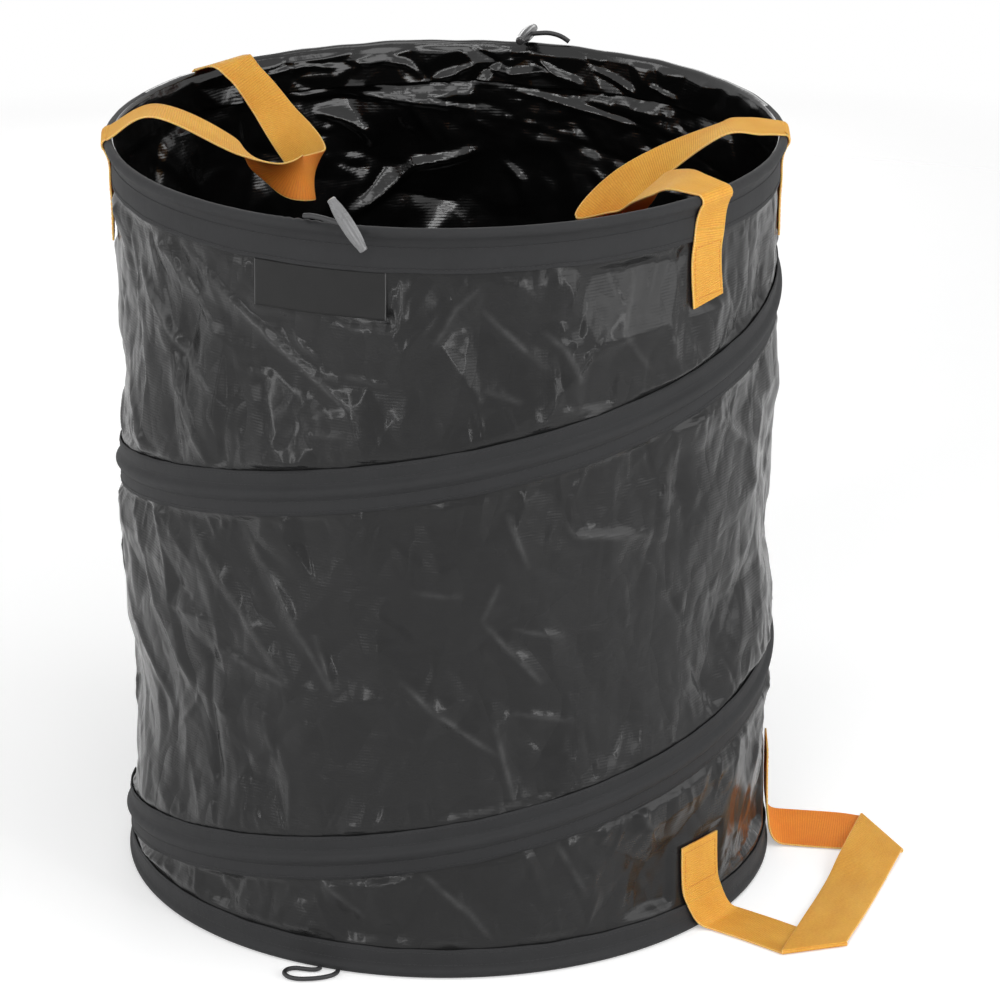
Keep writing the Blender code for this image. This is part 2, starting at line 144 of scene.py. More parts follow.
# The foot handle, with the CAD's stations.
BASE_STRAP_WIDTH = 0.050
FRONT_TAIL = [
    (-20.6, 0.2884, 0.083, 0), (-20.5, 0.2884, 0.060, 0), (-20.2, 0.2889, 0.040, 0),
    (-19.2, 0.2901, 0.026, 0), (-18.0, 0.2911, 0.014, 0), (-17.3, 0.2931, 0.0075, 0),
    (-16.7, 0.2962, 0.0036, 0), (-16.2, 0.3010, 0.0020, 0),
]
BACK_TAIL = [
    (18.6, 0.2884, 0.098, 0), (18.8, 0.2884, 0.070, 0), (19.0, 0.2889, 0.044, 0), (19.2, 0.2901, 0.030, 0),
    (19.3, 0.2916, 0.020, 0.0015), (19.4, 0.2948, 0.0135, 0.0040), (19.4, 0.3000, 0.0100, 0.0060),
    (19.3, 0.3090, 0.0088, 0.0068),
]
FRONT_RUN = [(0.3200, -0.0930, 0.0015, -109.5, 0), (0.3440, -0.1015, 0.0014, -109.5, 0)]
ACROSS_RUN = [
    (0.3792, -0.0560, 0.0036, 181, 0), (0.3785, -0.0200, 0.0022, 181, 0),
    (0.3775, 0.0250, 0.0024, 181, 0.0003), (0.3770, 0.0600, 0.0060, 181, 0.0030),
]
BACK_RUN = [(0.3340, 0.1105, 0.0083, 101, 0.0068)]
FRONT_FOLD = ((0.3550, -0.1323, 0.0014), (0.4040, -0.0967, 0.0014))
BACK_FOLD = ((0.3510, 0.1390, 0.0130), (0.4015, 0.0980, 0.0024))
LAYER_STEP = 0.0026
BASE_TAIL_SPLIT = 0.030

TOGGLE_LENGTH = 0.050
TOGGLE_GIRTH = 0.039
TOGGLE_RIDGE = 0.11
CORD_RADIUS = 0.0022
FRONT_TOGGLE_ALONG = (-0.0125, -0.0020, 0.0200)
FRONT_CORD = [
    (-0.0150, -0.2900, 0.6757), (-0.0085, -0.2912, 0.6767), (0.0000, -0.2947, 0.6775),
    (0.0095, -0.2985, 0.6776), (0.0168, -0.3012, 0.6773), (0.0285, -0.3045, 0.6770),
]
BACK_TOGGLE_ALONG = (-0.07, 1.0, 0.0)
BACK_CORD = [
    (0.0135, 0.2900, 0.6757), (0.0085, 0.2890, 0.6792), (0.0030, 0.2875, 0.6818),
    (-0.0045, 0.2855, 0.6834), (-0.0120, 0.2836, 0.6832), (-0.0245, 0.2810, 0.6815),
]

LOOP_RADIUS = 0.0020
LOOP_HEIGHT = 0.0024
LOOP_ROUTE = [
    (0.0065, 0.2930), (0.0068, 0.2972), (0.0045, 0.3035), (-0.0020, 0.3100), (-0.0110, 0.3155),
    (-0.0205, 0.3188), (-0.0290, 0.3180), (-0.0352, 0.3125), (-0.0352, 0.3055), (-0.0300, 0.3008),
    (-0.0225, 0.2998), (-0.0155, 0.2988), (-0.0112, 0.2966), (-0.0098, 0.2930),
]


# Shapes

def polar(azimuth, out, height):
    """Points at azimuths in degrees, distances out from the axis, and heights."""
    a = np.radians(np.asarray(azimuth, float))
    a, out, height = np.broadcast_arrays(a, out, height)
    return np.stack([out * np.cos(a), out * np.sin(a), height], -1)


def arc(centre, radius, start, end, count):
    turns = np.radians(np.linspace(start, end, count))
    return [(centre[0] + radius * math.cos(t), centre[1] + radius * math.sin(t)) for t in turns]


def smoothstep(low, high, x):
    t = np.clip((x - low) / (high - low), 0, 1)
    return t * t * (3 - 2 * t)


def new_object(name, data, look):
    made = bpy.data.objects.new(name, data)
    bpy.context.scene.collection.objects.link(made)
    data.materials.append(look)
    return made


def grid(name, places, across, up, look, round_columns=False, round_rows=False):
    """A smooth mesh of quads through rows and columns of points. across and up are the UVs of its
    columns and rows, with one more where they close into a ring."""
    rows, columns = places.shape[:2]
    i, j = np.mgrid[0:rows if round_rows else rows - 1, 0:columns if round_columns else columns - 1]
    i, j = i.ravel(), j.ravel()
    down, right = (i + 1) % rows, (j + 1) % columns
    here, below = i * columns, down * columns
    corners = np.stack([here + j, here + right, below + right, below + j], -1)
    data = bpy.data.meshes.new(name)
    data.from_pydata(places.reshape(-1, 3), [], corners.tolist())
    across, up = np.asarray(across, float), np.asarray(up, float)
    uvs = np.stack([across[np.stack([j, j + 1, j + 1, j], -1)], up[np.stack([i, i, i + 1, i + 1], -1)]], -1)
    layer = data.uv_layers.new(name="laid_flat")
    layer.data.foreach_set("uv", uvs.ravel())
    data.shade_smooth()
    return new_object(name, data, look)


def thicken(piece, thickness, inner_look=None):
    """Gives a sheet its thickness, inwards from the side that was drawn."""
    solid = piece.modifiers.new("thickness", "SOLIDIFY")
    solid.thickness = thickness
    solid.offset = -1.0
    if inner_look:
        piece.data.materials.append(inner_look)
        solid.material_offset = 1
    graph = bpy.context.evaluated_depsgraph_get()
    data = bpy.data.meshes.new_from_object(piece.evaluated_get(graph))
    piece.modifiers.clear()
    piece.data = data


def stands_for(piece, node, body=None):
    """Hides the node of the CAD that a piece replaces, and attaches the piece to a body that it rides on
    whole.
    """
    if body:
        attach(piece, body)
    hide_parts(node)


def finishes(piece, kind, *looks):
    """Adds finishes to a piece, and gives each of its faces one by its number."""
    for look in looks:
        piece.data.materials.append(look)
    piece.data.polygons.foreach_set("material_index", np.asarray(kind).astype(int))


def folds(piece, body="base", fixed=BASE_SEAM):
    """Has a piece ride on a body. fixed is not used."""
    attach(piece, body)
    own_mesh(piece)


def lengths(points):
    """The distance along a line of points, at each of them."""
    steps = np.linalg.norm(np.diff(points, axis=0), axis=1)
    return np.concatenate([[0], np.cumsum(steps)])


def smooth_route(points, step):
    """Points about a step apart on a smooth curve through the given ones, with what they carry."""
    points = np.array(points, float)
    spans = np.linalg.norm(np.diff(points[:, :3], axis=0), axis=1)
    knots = np.concatenate([[0], np.cumsum(np.sqrt(spans))])
    at = np.arange(len(points))
    low, high = np.maximum(at - 1, 0), np.minimum(at + 1, len(points) - 1)
    slopes = (points[high] - points[low]) / (knots[high] - knots[low])[:, None]
    route = []
    for k, span in enumerate(np.diff(knots)):
        pieces = max(1, round(spans[k] / step))
        t = np.arange(pieces)[:, None] / pieces
        far = 3 * t**2 - 2 * t**3
        leave = (t**3 - 2 * t**2 + t) * span
        arrive = (t**3 - t**2) * span
        between = (1 - far) * points[k] + far * points[k + 1]
        route.append(between + leave * slopes[k] + arrive * slopes[k + 1])
    return np.vstack([*route, points[-1:]])


def unit(v):
    return v / np.linalg.norm(v, axis=-1, keepdims=True)


def tube(name, points, radius, look, sides=12):
    """A mesh tube along points, with closed ends, whose frames don't twist."""
    points = np.asarray(points, float)
    run = unit(np.gradient(points, axis=0))
    side = np.zeros_like(points)
    side[0] = unit(np.cross(run[0], (0.3, 0.2, 1.0)))
    for k in range(1, len(points)):
        side[k] = unit(side[k - 1] - run[k] * np.dot(side[k - 1], run[k]))
    other = np.cross(run, side)
    turns = np.radians(np.arange(sides) * 360 / sides)
    rings = (points[:, None] + radius * (side[:, None] * np.cos(turns)[None, :, None]
                                         + other[:, None] * np.sin(turns)[None, :, None]))
    closing = np.stack([np.repeat(points[:1], sides, 0), *rings, np.repeat(points[-1:], sides, 0)])
    along = lengths(points)
    along = np.concatenate([[along[0] - radius], along, [along[-1] + radius]])
    girth = np.arange(sides + 1) / sides * 2 * math.pi * radius
    return grid(name, closing, girth, along, look, round_columns=True)


# Materials

class Nodes:
    """A new material, and short calls for its nodes. A value is a number or the output of another call."""

    def __init__(self, name, colour, roughness, **sockets):
        self.made = bpy.data.materials.new(name)
        self.made.use_nodes = True
        self.tree = self.made.node_tree
        self.shader = self.tree.nodes["Principled BSDF"]
        self.finish(Base_Color=(*colour, 1), Roughness=roughness, **sockets)

    def node(self, kind, output=0, settings=None, **inputs):
        """One output of a new node, with its settings and its inputs by name."""
        made = self.tree.nodes.new("ShaderNode" + kind)
        for key, value in (settings or {}).items():
            setattr(made, key, value)
        for key, value in inputs.items():
            self.put(made.inputs[key.replace("_", " ")], value)
        return made.outputs[output]

    def put(self, socket, value):
        if isinstance(value, bpy.types.NodeSocket):
            self.tree.links.new(value, socket)
        else:
            socket.default_value = value

    def laid_flat(self, across=1.0, up=1.0, turn=0.0):
        """Coordinates on the laid-out cloth, in metres, times a factor each way."""
        uv = self.node("UVMap", settings={"uv_map": "laid_flat"})
        return self.node("Mapping", Vector=uv, Scale=(across, up, 1), Rotation=(0, 0, turn))

    def noise(self, at, detail=3.0, roughness=0.55, distortion=0.0, scale=1.0):
        """Noise at coordinates, or on the laid-out cloth times a pair of factors."""
        at = self.laid_flat(*at) if isinstance(at, tuple) else at
        return self.node("TexNoise", "Fac", Vector=at, Scale=scale, Detail=detail, Roughness=roughness,
                         Distortion=distortion)

    def swells(self, across, up):
        """Soft noise, mirrored at its middle value, so that it has creases."""
        swell = self.noise((across, up), 1.0, 0.5, 0.3)
        return self.math("ABSOLUTE", self.math("SUBTRACT", swell, 0.5))

    def bands(self, pitch, direction="Y", profile="SIN", at=None):
        """Ridges a pitch apart, in metres. A wave texture repeats 20 times a unit of its scale over 2 pi."""
        settings = {"bands_direction": direction, "wave_type": "BANDS", "wave_profile": profile}
        at = at or self.laid_flat()
        return self.node("TexWave", "Fac", settings, Vector=at, Scale=math.pi / (10 * pitch))

    def math(self, operation, a, b=0.5, clamp=False):
        made = self.tree.nodes.new("ShaderNodeMath")
        made.operation = operation
        made.use_clamp = clamp
        self.put(made.inputs[0], a)
        self.put(made.inputs[1], b)
        return made.outputs[0]

    def shares(self, a, b, share):
        """A share of a, and the rest of b."""
        return self.math("ADD", self.math("MULTIPLY", a, share), self.math("MULTIPLY", b, 1 - share))

    def ramp(self, value, low, high, to_low=0.0, to_high=1.0):
        return self.node("MapRange", Value=value, From_Min=low, From_Max=high, To_Min=to_low, To_Max=to_high)

    def mix(self, share, a, b):
        made = self.tree.nodes.new("ShaderNodeMix")
        made.data_type = "RGBA"
        for k, value in ((0, share), (6, a), (7, b)):
            self.put(made.inputs[k], (*value, 1) if isinstance(value, tuple) else value)
        return made.outputs[2]

    def varied(self, share, colour, least, most):
        """A colour that runs from one multiple of itself to another."""
        return self.mix(share, tuple(c * least for c in colour), tuple(c * most for c in colour))

    def bump(self, height, distance, **before):
        return self.node("Bump", Height=height, Distance=distance, Strength=1.0, **before)

    def finish(self, **sockets):
        for key, value in sockets.items():
            self.put(self.shader.inputs[key.replace("_", " ")], value)
        return self.made


def cloth_outside():
    """Woven tapes under a clear film: near black, satin, with a thin gloss, fine folds, a faint weave, and
    painted highlights on the crests.
    """
    n = Nodes("coated_fabric_outside", (0.011, 0.011, 0.0115), 0.26, Specular_IOR_Level=0.14,
              Coat_Weight=0.16, Coat_Roughness=0.10)
    drift = n.noise((7, 11), 4)
    tapes = n.shares(n.bands(0.0026, "Y"), n.bands(0.0024, "X"), 0.8)
    # Painted highlight: a field on the mesh, broken into patches, lightens the colour towards grey along the
    # crests of the creases.
    crest_highlight = n.node("Attribute", "Fac", {"attribute_name": "crest_highlight"})
    patchy = n.ramp(n.noise((60, 60), 3, 0.6), 0.35, 0.6, 0.35, 1.0)
    crest_highlight = n.math("MULTIPLY", crest_highlight, patchy, clamp=True)
    bump = n.bump(n.swells(15, 9), 0.0125)
    bump = n.bump(n.swells(38, 24), 0.0030, Normal=bump)
    bump = n.bump(n.noise((70, 110), 4, 0.5, 0.4), 0.0004, Normal=bump)
    bump = n.bump(tapes, 0.00007, Normal=bump)
    base = n.mix(drift, (0.010, 0.010, 0.0102), (0.020, 0.020, 0.0203))
    return n.finish(Base_Color=n.mix(crest_highlight, base, (0.12, 0.12, 0.12)),
                    Roughness=n.ramp(drift, 0.3, 0.7, 0.22, 0.30), Normal=bump)


def cloth_inside():
    n = Nodes("coated_fabric_inside", (0.0035, 0.0035, 0.0035), 0.14, Specular_IOR_Level=0.5)
    bump = n.bump(n.noise((45, 60), 4, 0.5, 0.6), 0.0006)
    bump = n.bump(n.bands(0.0026), 0.00003, Normal=bump)
    return n.finish(Roughness=n.ramp(n.noise((8, 8)), 0.3, 0.7, 0.10, 0.20), Normal=bump)


def tape_cloth(name, colour):
    n = Nodes(name, colour, 0.72, Specular_IOR_Level=0.35)
    weave = n.math("MULTIPLY", n.bands(0.0009, "Y"), n.bands(0.0009, "X"))
    bump = n.bump(n.noise((90, 45), 3, 0.5), 0.0008)
    bump = n.bump(weave, 0.00015, Normal=bump)
    return n.finish(Base_Color=n.varied(n.noise((20, 40), 4), colour, 0.75, 1.35), Normal=bump)


def webbing(name, low, high, groove_shade):
    """Woven webbing: cross ribs, threads along it, a little fuzz, drifting colour, and painted shade in the
    grooves between the ribs.
    """
    n = Nodes(name, high, 0.74, Subsurface_Weight=0.4, Subsurface_Scale=0.003,
              Subsurface_Radius=(1.0, 0.34, 0.07))
    ribs = n.bands(0.0021, "Y", "TRI")
    fuzz = n.noise((420, 900), 3, 0.6)
    uneven = n.shares(n.noise((30, 14), 4), fuzz, 0.5)
    base = n.mix(n.ramp(uneven, 0.35, 0.65), low, high)
    # Painted shade: the colour darkens towards a deeper one in the grooves between the cross ribs.
    base = n.mix(n.ramp(ribs, 0.0, 0.4, 0.40, 0.0), base, groove_shade)
    bump = n.bump(n.shares(ribs, n.bands(0.0012, "X"), 0.7), 0.00030)
    bump = n.bump(fuzz, 0.00010, Normal=bump)
    return n.finish(Base_Color=base, Normal=bump)


def thread(name, colour):
    n = Nodes(name, colour, 0.65)
    return n.finish(Base_Color=n.varied(n.noise((900, 900), 1), colour, 0.7, 1.3))


def patch_cloth(name, low, high):
    n = Nodes(name, low, 0.5, Specular_IOR_Level=0.25)
    weave = n.math("MULTIPLY", n.bands(0.0006, "X"), n.bands(0.0006, "Y"))
    return n.finish(Base_Color=n.mix(n.noise((60, 60)), low, high), Normal=n.bump(weave, 0.0001))


def braided_cord():
    n = Nodes("black_cord", (0.012, 0.012, 0.013), 0.55)
    one, two = (n.bands(0.0011, at=n.laid_flat(1, 0.6, turn)) for turn in (0.6, -0.6))
    return n.finish(Normal=n.bump(n.math("MAXIMUM", one, two), 0.0003))


def moulded_plastic(name, colour):
    n = Nodes(name, colour, 0.28, Specular_IOR_Level=0.6)
    drift = n.noise((60, 60))
    return n.finish(Base_Color=n.varied(drift, colour, 0.8, 1.2),
                    Roughness=n.ramp(drift, 0.3, 0.7, 0.22, 0.36),
                    Normal=n.bump(n.noise((700, 700), 2), 0.00005))


def spring_steel():
    n = Nodes("spring_steel", (0.42, 0.42, 0.43), 0.32, Metallic=1.0)
    drawn = n.noise(n.node("TexCoord", "Object"), 2, scale=400.0)
    return n.finish(Base_Color=n.mix(drawn, (0.36, 0.36, 0.37), (0.48, 0.48, 0.49)),
                    Roughness=n.ramp(drawn, 0.3, 0.7, 0.25, 0.42))


OUTSIDE = cloth_outside()
INSIDE = cloth_inside()
TAPE = tape_cloth("binding_tape", (0.0135, 0.0137, 0.0147))
WEBBING = webbing("orange_webbing_face", (0.66, 0.29, 0.025), (0.84, 0.45, 0.066), (0.42, 0.13, 0.009))
# A lighter, yellower orange on the straps' round edges: a painted highlight, where they catch the light.
WEBBING_EDGE_HIGHLIGHT = webbing("orange_webbing_edge_highlight", (0.84, 0.48, 0.12), (0.92, 0.60, 0.20), (0.60, 0.25, 0.03))
# A deeper orange for the straps' other face: painted shade, for the face that mostly lies in shade. The
# webbing has one colour on both faces.
WEBBING_SHADED = webbing("orange_webbing_painted_shade", (0.76, 0.20, 0.014), (0.86, 0.31, 0.026), (0.46, 0.08, 0.005))
BLACK_THREAD = thread("black_thread", (0.012, 0.012, 0.013))
ORANGE_THREAD = thread("orange_thread", (0.62, 0.23, 0.03))
PATCH = patch_cloth("label_patch_face", (0.004, 0.004, 0.004), (0.009, 0.009, 0.009))
PATCH_EDGE = patch_cloth("label_patch_edge", (0.05, 0.05, 0.05), (0.11, 0.11, 0.11))
CORD = braided_cord()
GREY_PLASTIC = moulded_plastic("grey_toggle_plastic", (0.17, 0.17, 0.173))
DARK_PLASTIC = moulded_plastic("dark_toggle_plastic", (0.030, 0.030, 0.031))
STEEL = spring_steel()


# The wall

def spiral_height(azimuth):
    at, height = SPIRAL_PASSES
    return height + SPIRAL_RISE_PER_TURN * (azimuth - at) / 360


def spiral_passes(azimuth):
    """The heights at which the spiral tape passes azimuths, and where it does."""
    for turn in (-2, -1, 0):
        unwound = azimuth + 360 * turn
        there = (unwound > SPIRAL_START) & (unwound < SPIRAL_END)
        yield spiral_height(unwound), there


def azimuth_apart(azimuth, other):
    return (azimuth - other + 180) % 360 - 180


# Creases of the wall that the photograph shows: the azimuths and heights in mm of two or more points,
# then how far it stands out in mm, and the widths in mm of its flanks, left and right of its run.
CREASES = [
    # the fan that hangs from the left of the rim
    ((-141, 622, -135, 532), 2.6, 8, 14), ((-139, 600, -117, 516, -112, 496), 3.2, 9, 18),
    ((-133, 632, -127, 580), 2.2, 6, 12), ((-129, 632, -119, 597, -111, 552), 2.6, 7, 14),
    ((-124, 522, -114, 435), 3.0, 9, 16), ((-144, 497, -133, 440, -127, 420), 2.6, 8, 14),
    ((-121, 632, -106, 582, -83, 504), 3.2, 8, 20),
    # under the label
    ((-97, 570, -91, 550), 1.6, 5, 8), ((-87, 541, -79, 535), 1.6, 5, 7), ((-93, 487, -86, 489), 1.2, 6, 5),
    ((-88, 587, -82, 580), 1.5, 4, 7), ((-72, 570, -68, 603, -64, 622), 2.0, 10, 6),
    ((-105, 533, -100, 533), 1.0, 5, 6), ((-76.8, 628, -76.8, 598), 1.8, 4, 4),
    # right of it, above the spiral tape
    ((-64, 600, -53, 546), 3.2, 18, 9), ((-54, 582, -50, 562, -47, 530), 3.0, 16, 8),
    ((-51, 561, -50, 506), -2.0, 8, 8), ((-51, 508, -41, 505), 1.8, 7, 10),
    ((-46, 620, -48, 565), -2.2, 8, 12), ((-64, 532, -57, 519), 1.6, 6, 7),
    ((-30, 560, -30, 538), 1.4, 6, 6), ((-36, 625, -40, 570, -34, 530), 1.8, 12, 14),
    # between the two turns of the tape
    ((-28, 457, -30, 398), 2.2, 12, 9), ((-18, 475, -1, 412), 2.8, 12, 16),
    ((-60, 425, -56, 371), 2.4, 16, 9), ((-50, 413, -48, 397, -35, 385, -32, 379), 2.2, 9, 12),
    ((-64, 326, -53, 264), 3.0, 16, 9), ((-59, 319, -49, 306), 1.8, 6, 14),
    ((-61, 363, -64, 324), 1.8, 10, 8), ((-78, 277, -68, 230, -61, 203), 3.2, 12, 8),
    ((-59, 241, -47, 227), 1.8, 7, 14), ((-62, 237, -58, 153), 2.6, 10, 7),
    ((-46, 233, -44, 168), -2.0, 9, 9), ((-28, 324, -24, 292), -1.8, 7, 7),
    ((-22, 254, -17, 209), -1.8, 7, 8), ((-76, 354, -67, 351), 1.4, 5, 16),
    # the lower left
    ((-144, 362, -120, 207), 3.4, 20, 12), ((-150, 284, -128, 180), 3.0, 12, 14),
    ((-120, 381, -98, 255), 2.8, 18, 10), ((-115, 272, -97, 255), 2.2, 8, 16),
    ((-108, 396, -89, 254), 2.4, 14, 12), ((-93, 308, -89, 254), 2.0, 9, 7),
    ((-117, 269, -114, 108), -2.6, 12, 8), ((-104, 230, -99, 150), 1.6, 16, 12),
    # below the lower turn
    ((-96, 98, -84, 52), 2.0, 9, 12), ((-76, 108, -66, 60, -62, 32), 2.4, 12, 9),
    ((-52, 128, -45, 62), 2.2, 14, 9), ((-37, 150, -30, 82), 2.2, 10, 14),
    ((-120, 78, -108, 38), 1.8, 8, 10),
]
CREST_RADIUS = 0.4 * MM
# How strong the painted highlight on a crease's crest is, per mm that the crease stands out, and how far it
# spreads from the crest.
CREST_HIGHLIGHT = 0.14
CREST_HIGHLIGHT_REACH = 2.2 * MM

# Random creases: how many, between which azimuths, and how far the deepest stands out in mm.
RANDOM_CREASES = [(120, (10, 205), 3.2), (90, (-150, 10), 1.6)]

# Facets: their size in degrees and in metres, and their depth in mm.
FACETS = [(15, 0.085, 6.5), (7.5, 0.046, 5.0), (3.5, 0.020, 0.9)]

# Soft dents: azimuth, height in mm, how far they spread in degrees and in mm, and their depth in mm.
DENTS = [
    (-160, 170, 24, 62, 8.0), (-128, 160, 15, 50, 3.0), (-100, 545, 16, 40, 2.5),
    (-66, 330, 14, 60, 2.0), (-35, 470, 10, 40, 2.0), (-88, 330, 12, 60, -1.5),
]

# How far from a seam the cloth is free, and how far in it is drawn between seams that far apart.
SEAM_REACH = 0.012
WAIST_DEPTH = 5.0 * MM
WAIST_SPAN = 0.29
# How far, in degrees each way, a label and the straps hold it flat.
LABEL_HOLDS = 11.8
RIM_STRAP_HOLDS = 4.6
BASE_STRAP_HOLDS = 5.6

# Folds that stand inwards at the back, seen through the mouth, in the wall and in the rim's hem.
INNER_FOLDS = [
    ((130, 508, 121.5, 531, 116, 554, 109.6, 560, 103, 569), 8.0, 7, 10),
    ((141, 631, 128, 625, 115, 615, 104, 607), 4.0, 4, 5),
    ((96, 624, 85, 616, 75, 609, 64, 602), 4.0, 4, 5),
    ((135.5, 612, 129.4, 601, 125.6, 587, 123.7, 572), 5.5, 5, 12),
    ((119.6, 611, 118, 599, 116.1, 586), 4.0, 4, 6), ((117.2, 613, 115.5, 600, 113.6, 588), 3.0, 4, 5),
    ((100, 560, 96, 540, 95, 515), 3.0, 8, 6), ((82, 560, 78, 540, 80, 520), 3.0, 8, 6),
]
HEM_FOLDS = [
    ((146, 655, 138, 658, 131, 653), 3.0, 4, 4),
    ((128, 645, 126.5, 655, 122, 657, 118, 652, 114.5, 640), 5.0, 4, 6),
    ((113.2, 638, 108.6, 642, 104.5, 652), 4.5, 4, 5), ((103, 650, 98, 643, 92, 648, 86, 640), 5.0, 4, 5),
    ((93, 657, 88.7, 646, 83.4, 639), 4.0, 4, 5), ((82, 656, 76, 646, 71.9, 638), 4.0, 4, 5),
    ((69.6, 648, 62.3, 641), 3.0, 3, 4),
]


def window(azimuth, height, knots, reach):
    """The rows and columns of the wall's grid within reach of some points. along is from the middle one."""
    middle = knots[len(knots) // 2][0]
    along = np.radians(azimuth_apart(azimuth[0], middle)) * WALL_RADIUS
    placed = [(math.radians(azimuth_apart(a, middle)) * WALL_RADIUS, up) for a, up in knots]
    sides = [p[0] for p in placed]
    ups = [p[1] for p in placed]
    columns = np.flatnonzero((along > min(sides) - reach) & (along < max(sides) + reach))
    rows = np.flatnonzero((height[:, 0] > min(ups) - reach) & (height[:, 0] < max(ups) + reach))
    return np.ix_(rows, columns), placed, along[columns][None], height[rows, :1]


def add_crease(relief, azimuth, height, points, rise, left, right, crest_highlight=None):
    """Adds a crease to the relief: sharp along its line, with flanks that run out. Its crest gets a painted
    highlight.
    """
    knots = [(a, up * MM) for a, up in zip(points[::2], points[1::2])]
    part, placed, along, up = window(azimuth, height, knots, max(left, right) * MM)
    total = sum(math.dist(a, b) for a, b in zip(placed, placed[1:]))
    nearest = np.full(np.broadcast(along, up).shape, 1.0)
    aside, share = np.zeros(nearest.shape), np.zeros(nearest.shape)
    before = 0.0
    for a, b in zip(placed, placed[1:]):
        length = math.dist(a, b)
        run = ((b[0] - a[0]) / length, (b[1] - a[1]) / length)
        x, y = along - a[0], up - a[1]
        on = np.clip(x * run[0] + y * run[1], 0, length)
        off = np.hypot(x - on * run[0], y - on * run[1])
        closer = off < nearest
        nearest = np.where(closer, off, nearest)
        aside = np.where(closer, y * run[0] - x * run[1], aside)
        share = np.where(closer, (before + on) / total, share)
        before += length
    width = np.where(aside > 0, left, right) * MM
    sharp = np.sqrt(nearest**2 + CREST_RADIUS**2) - CREST_RADIUS
    flank = np.clip(1 - sharp / width, 0, 1)**1.6
    ends = np.clip(1 - np.abs(2 * share - 1)**3, 0, 1)
    relief[part] += rise * MM * ends * flank
    # A painted highlight along the crest, where the crease stands out.
    if crest_highlight is not None:
        crest_highlight[part] += CREST_HIGHLIGHT * max(rise, 0) * ends * np.exp(-(nearest / CREST_HIGHLIGHT_REACH)**2)


def degrees_round(mm):
    """The angle that a length in mm takes up on the wall."""
    return math.degrees(mm * MM / WALL_RADIUS)


def random_creases(rng, count, azimuths, rise):
    """Creases for the sides that the photograph doesn't show, most of them steep."""
    for _ in range(count):
        azimuth, up = rng.uniform(*azimuths), rng.uniform(40, 620)
        lean = math.radians(rng.choice([-1, 1]) * abs(rng.normal(28, 22)))
        length = rng.uniform(25, 120)
        across = degrees_round(length * math.sin(lean))
        drop = length * math.cos(lean)
        bend = degrees_round(rng.uniform(-0.12, 0.12) * length)
        points = (azimuth - across / 2, up + drop / 2, azimuth + bend, up,
                  azimuth + across / 2, up - drop / 2)
        height = rng.choice([-1, 1, 1, 1]) * rng.uniform(0.5, 1) * rise
        yield points, height, rng.uniform(6, 18), rng.uniform(6, 18)


def facets(azimuth, height, rng, across, up, rise):
    """Flat facets between random points, with a sharp fold along each edge, all round the wall."""
    columns = round(360 / across)
    rows = round((WALL_TOP - WALL_FOOT) / up) + 1
    points, rises = [], []
    for i in range(rows + 1):
        for j in range(columns):
            spot = ((j + 0.5 * (i % 2) + rng.uniform(-0.38, 0.38)) * across + FRONT[0],
                    WALL_FOOT + (i - 0.5 + rng.uniform(-0.38, 0.38)) * up)
            value = rng.uniform(-1, 1)
            for turn in (-360, 0, 360):
                if abs(spot[0] + turn - FRONT[0] - 180) < 180 + 3 * across:
                    points.append((math.radians(spot[0] + turn) * WALL_RADIUS, spot[1]))
                    rises.append(value)
    made = delaunay_2d_cdt([Vector(p) for p in points], [], [], 0, 1e-7)
    verts = np.array([tuple(v) for v in made[0]])
    values = np.array([rises[k[0]] for k in made[3]])
    total = np.zeros(azimuth.shape)
    along = np.radians(azimuth) * WALL_RADIUS
    for face in made[2]:
        a, b, c = (verts[k] for k in face)
        area = (b[0] - a[0]) * (c[1] - a[1]) - (c[0] - a[0]) * (b[1] - a[1])
        if abs(area) < 1e-12:
            continue
        first = np.searchsorted(along[0], min(a[0], b[0], c[0]))
        last = np.searchsorted(along[0], max(a[0], b[0], c[0]), "right")
        low = np.searchsorted(height[:, 0], min(a[1], b[1], c[1]))
        high = np.searchsorted(height[:, 0], max(a[1], b[1], c[1]), "right")
        x, y = along[low:high, first:last] - a[0], height[low:high, first:last] - a[1]
        share_b = (x * (c[1] - a[1]) - (c[0] - a[0]) * y) / area
        share_c = ((b[0] - a[0]) * y - x * (b[1] - a[1])) / area
        inside = (share_b >= -1e-9) & (share_c >= -1e-9) & (share_b + share_c <= 1 + 1e-9)
        at_a, at_b, at_c = (values[k] for k in face)
        value = (1 - share_b - share_c) * at_a + share_b * at_b + share_c * at_c
        total[low:high, first:last][inside] = value[inside]
    return total * rise


def seam_puckers(rng):
    """Short creases that leave the seams of the tapes, where the sewing gathers the cloth."""
    edges = [(RIM_SEAM, None, -1, -180, 180), (BASE_SEAM, None, 1, -180, 180)]
    for turn in (-360, 0):
        low, high = max(SPIRAL_START - turn, -180), min(SPIRAL_END - turn, 180)
        edges += [(side * SPIRAL_WIDTH / 2, turn, side, low, high) for side in (-1, 1)]
    for height, turn, side, low, high in edges:
        azimuth = low
        while azimuth < high:
            azimuth += rng.uniform(1.6, 6.5)
            length = rng.uniform(12, 46)
            lean = degrees_round(rng.uniform(-0.5, 0.5) * length)
            foot = (height if turn is None else spiral_height(azimuth + turn) + height) / MM
            points = (azimuth, foot, azimuth + lean, foot + side * length)
            rise = rng.choice([-1, 1, 1]) * rng.uniform(0.4, 1.3)
            yield points, rise, rng.uniform(3, 8), rng.uniform(3, 8)


def inner_rumple(azimuth, height, rng):
    """The loose cloth under the back of the rim, which bunches inwards between its seams."""
    place = np.exp(-(azimuth_apart(azimuth, 100) / 55)**4) * smoothstep(0.640, 0.630, height)
    place *= smoothstep(0.555, 0.595, height)
    return place * np.abs(facets(azimuth, height, rng, 7, 0.020, 4.5 * MM))


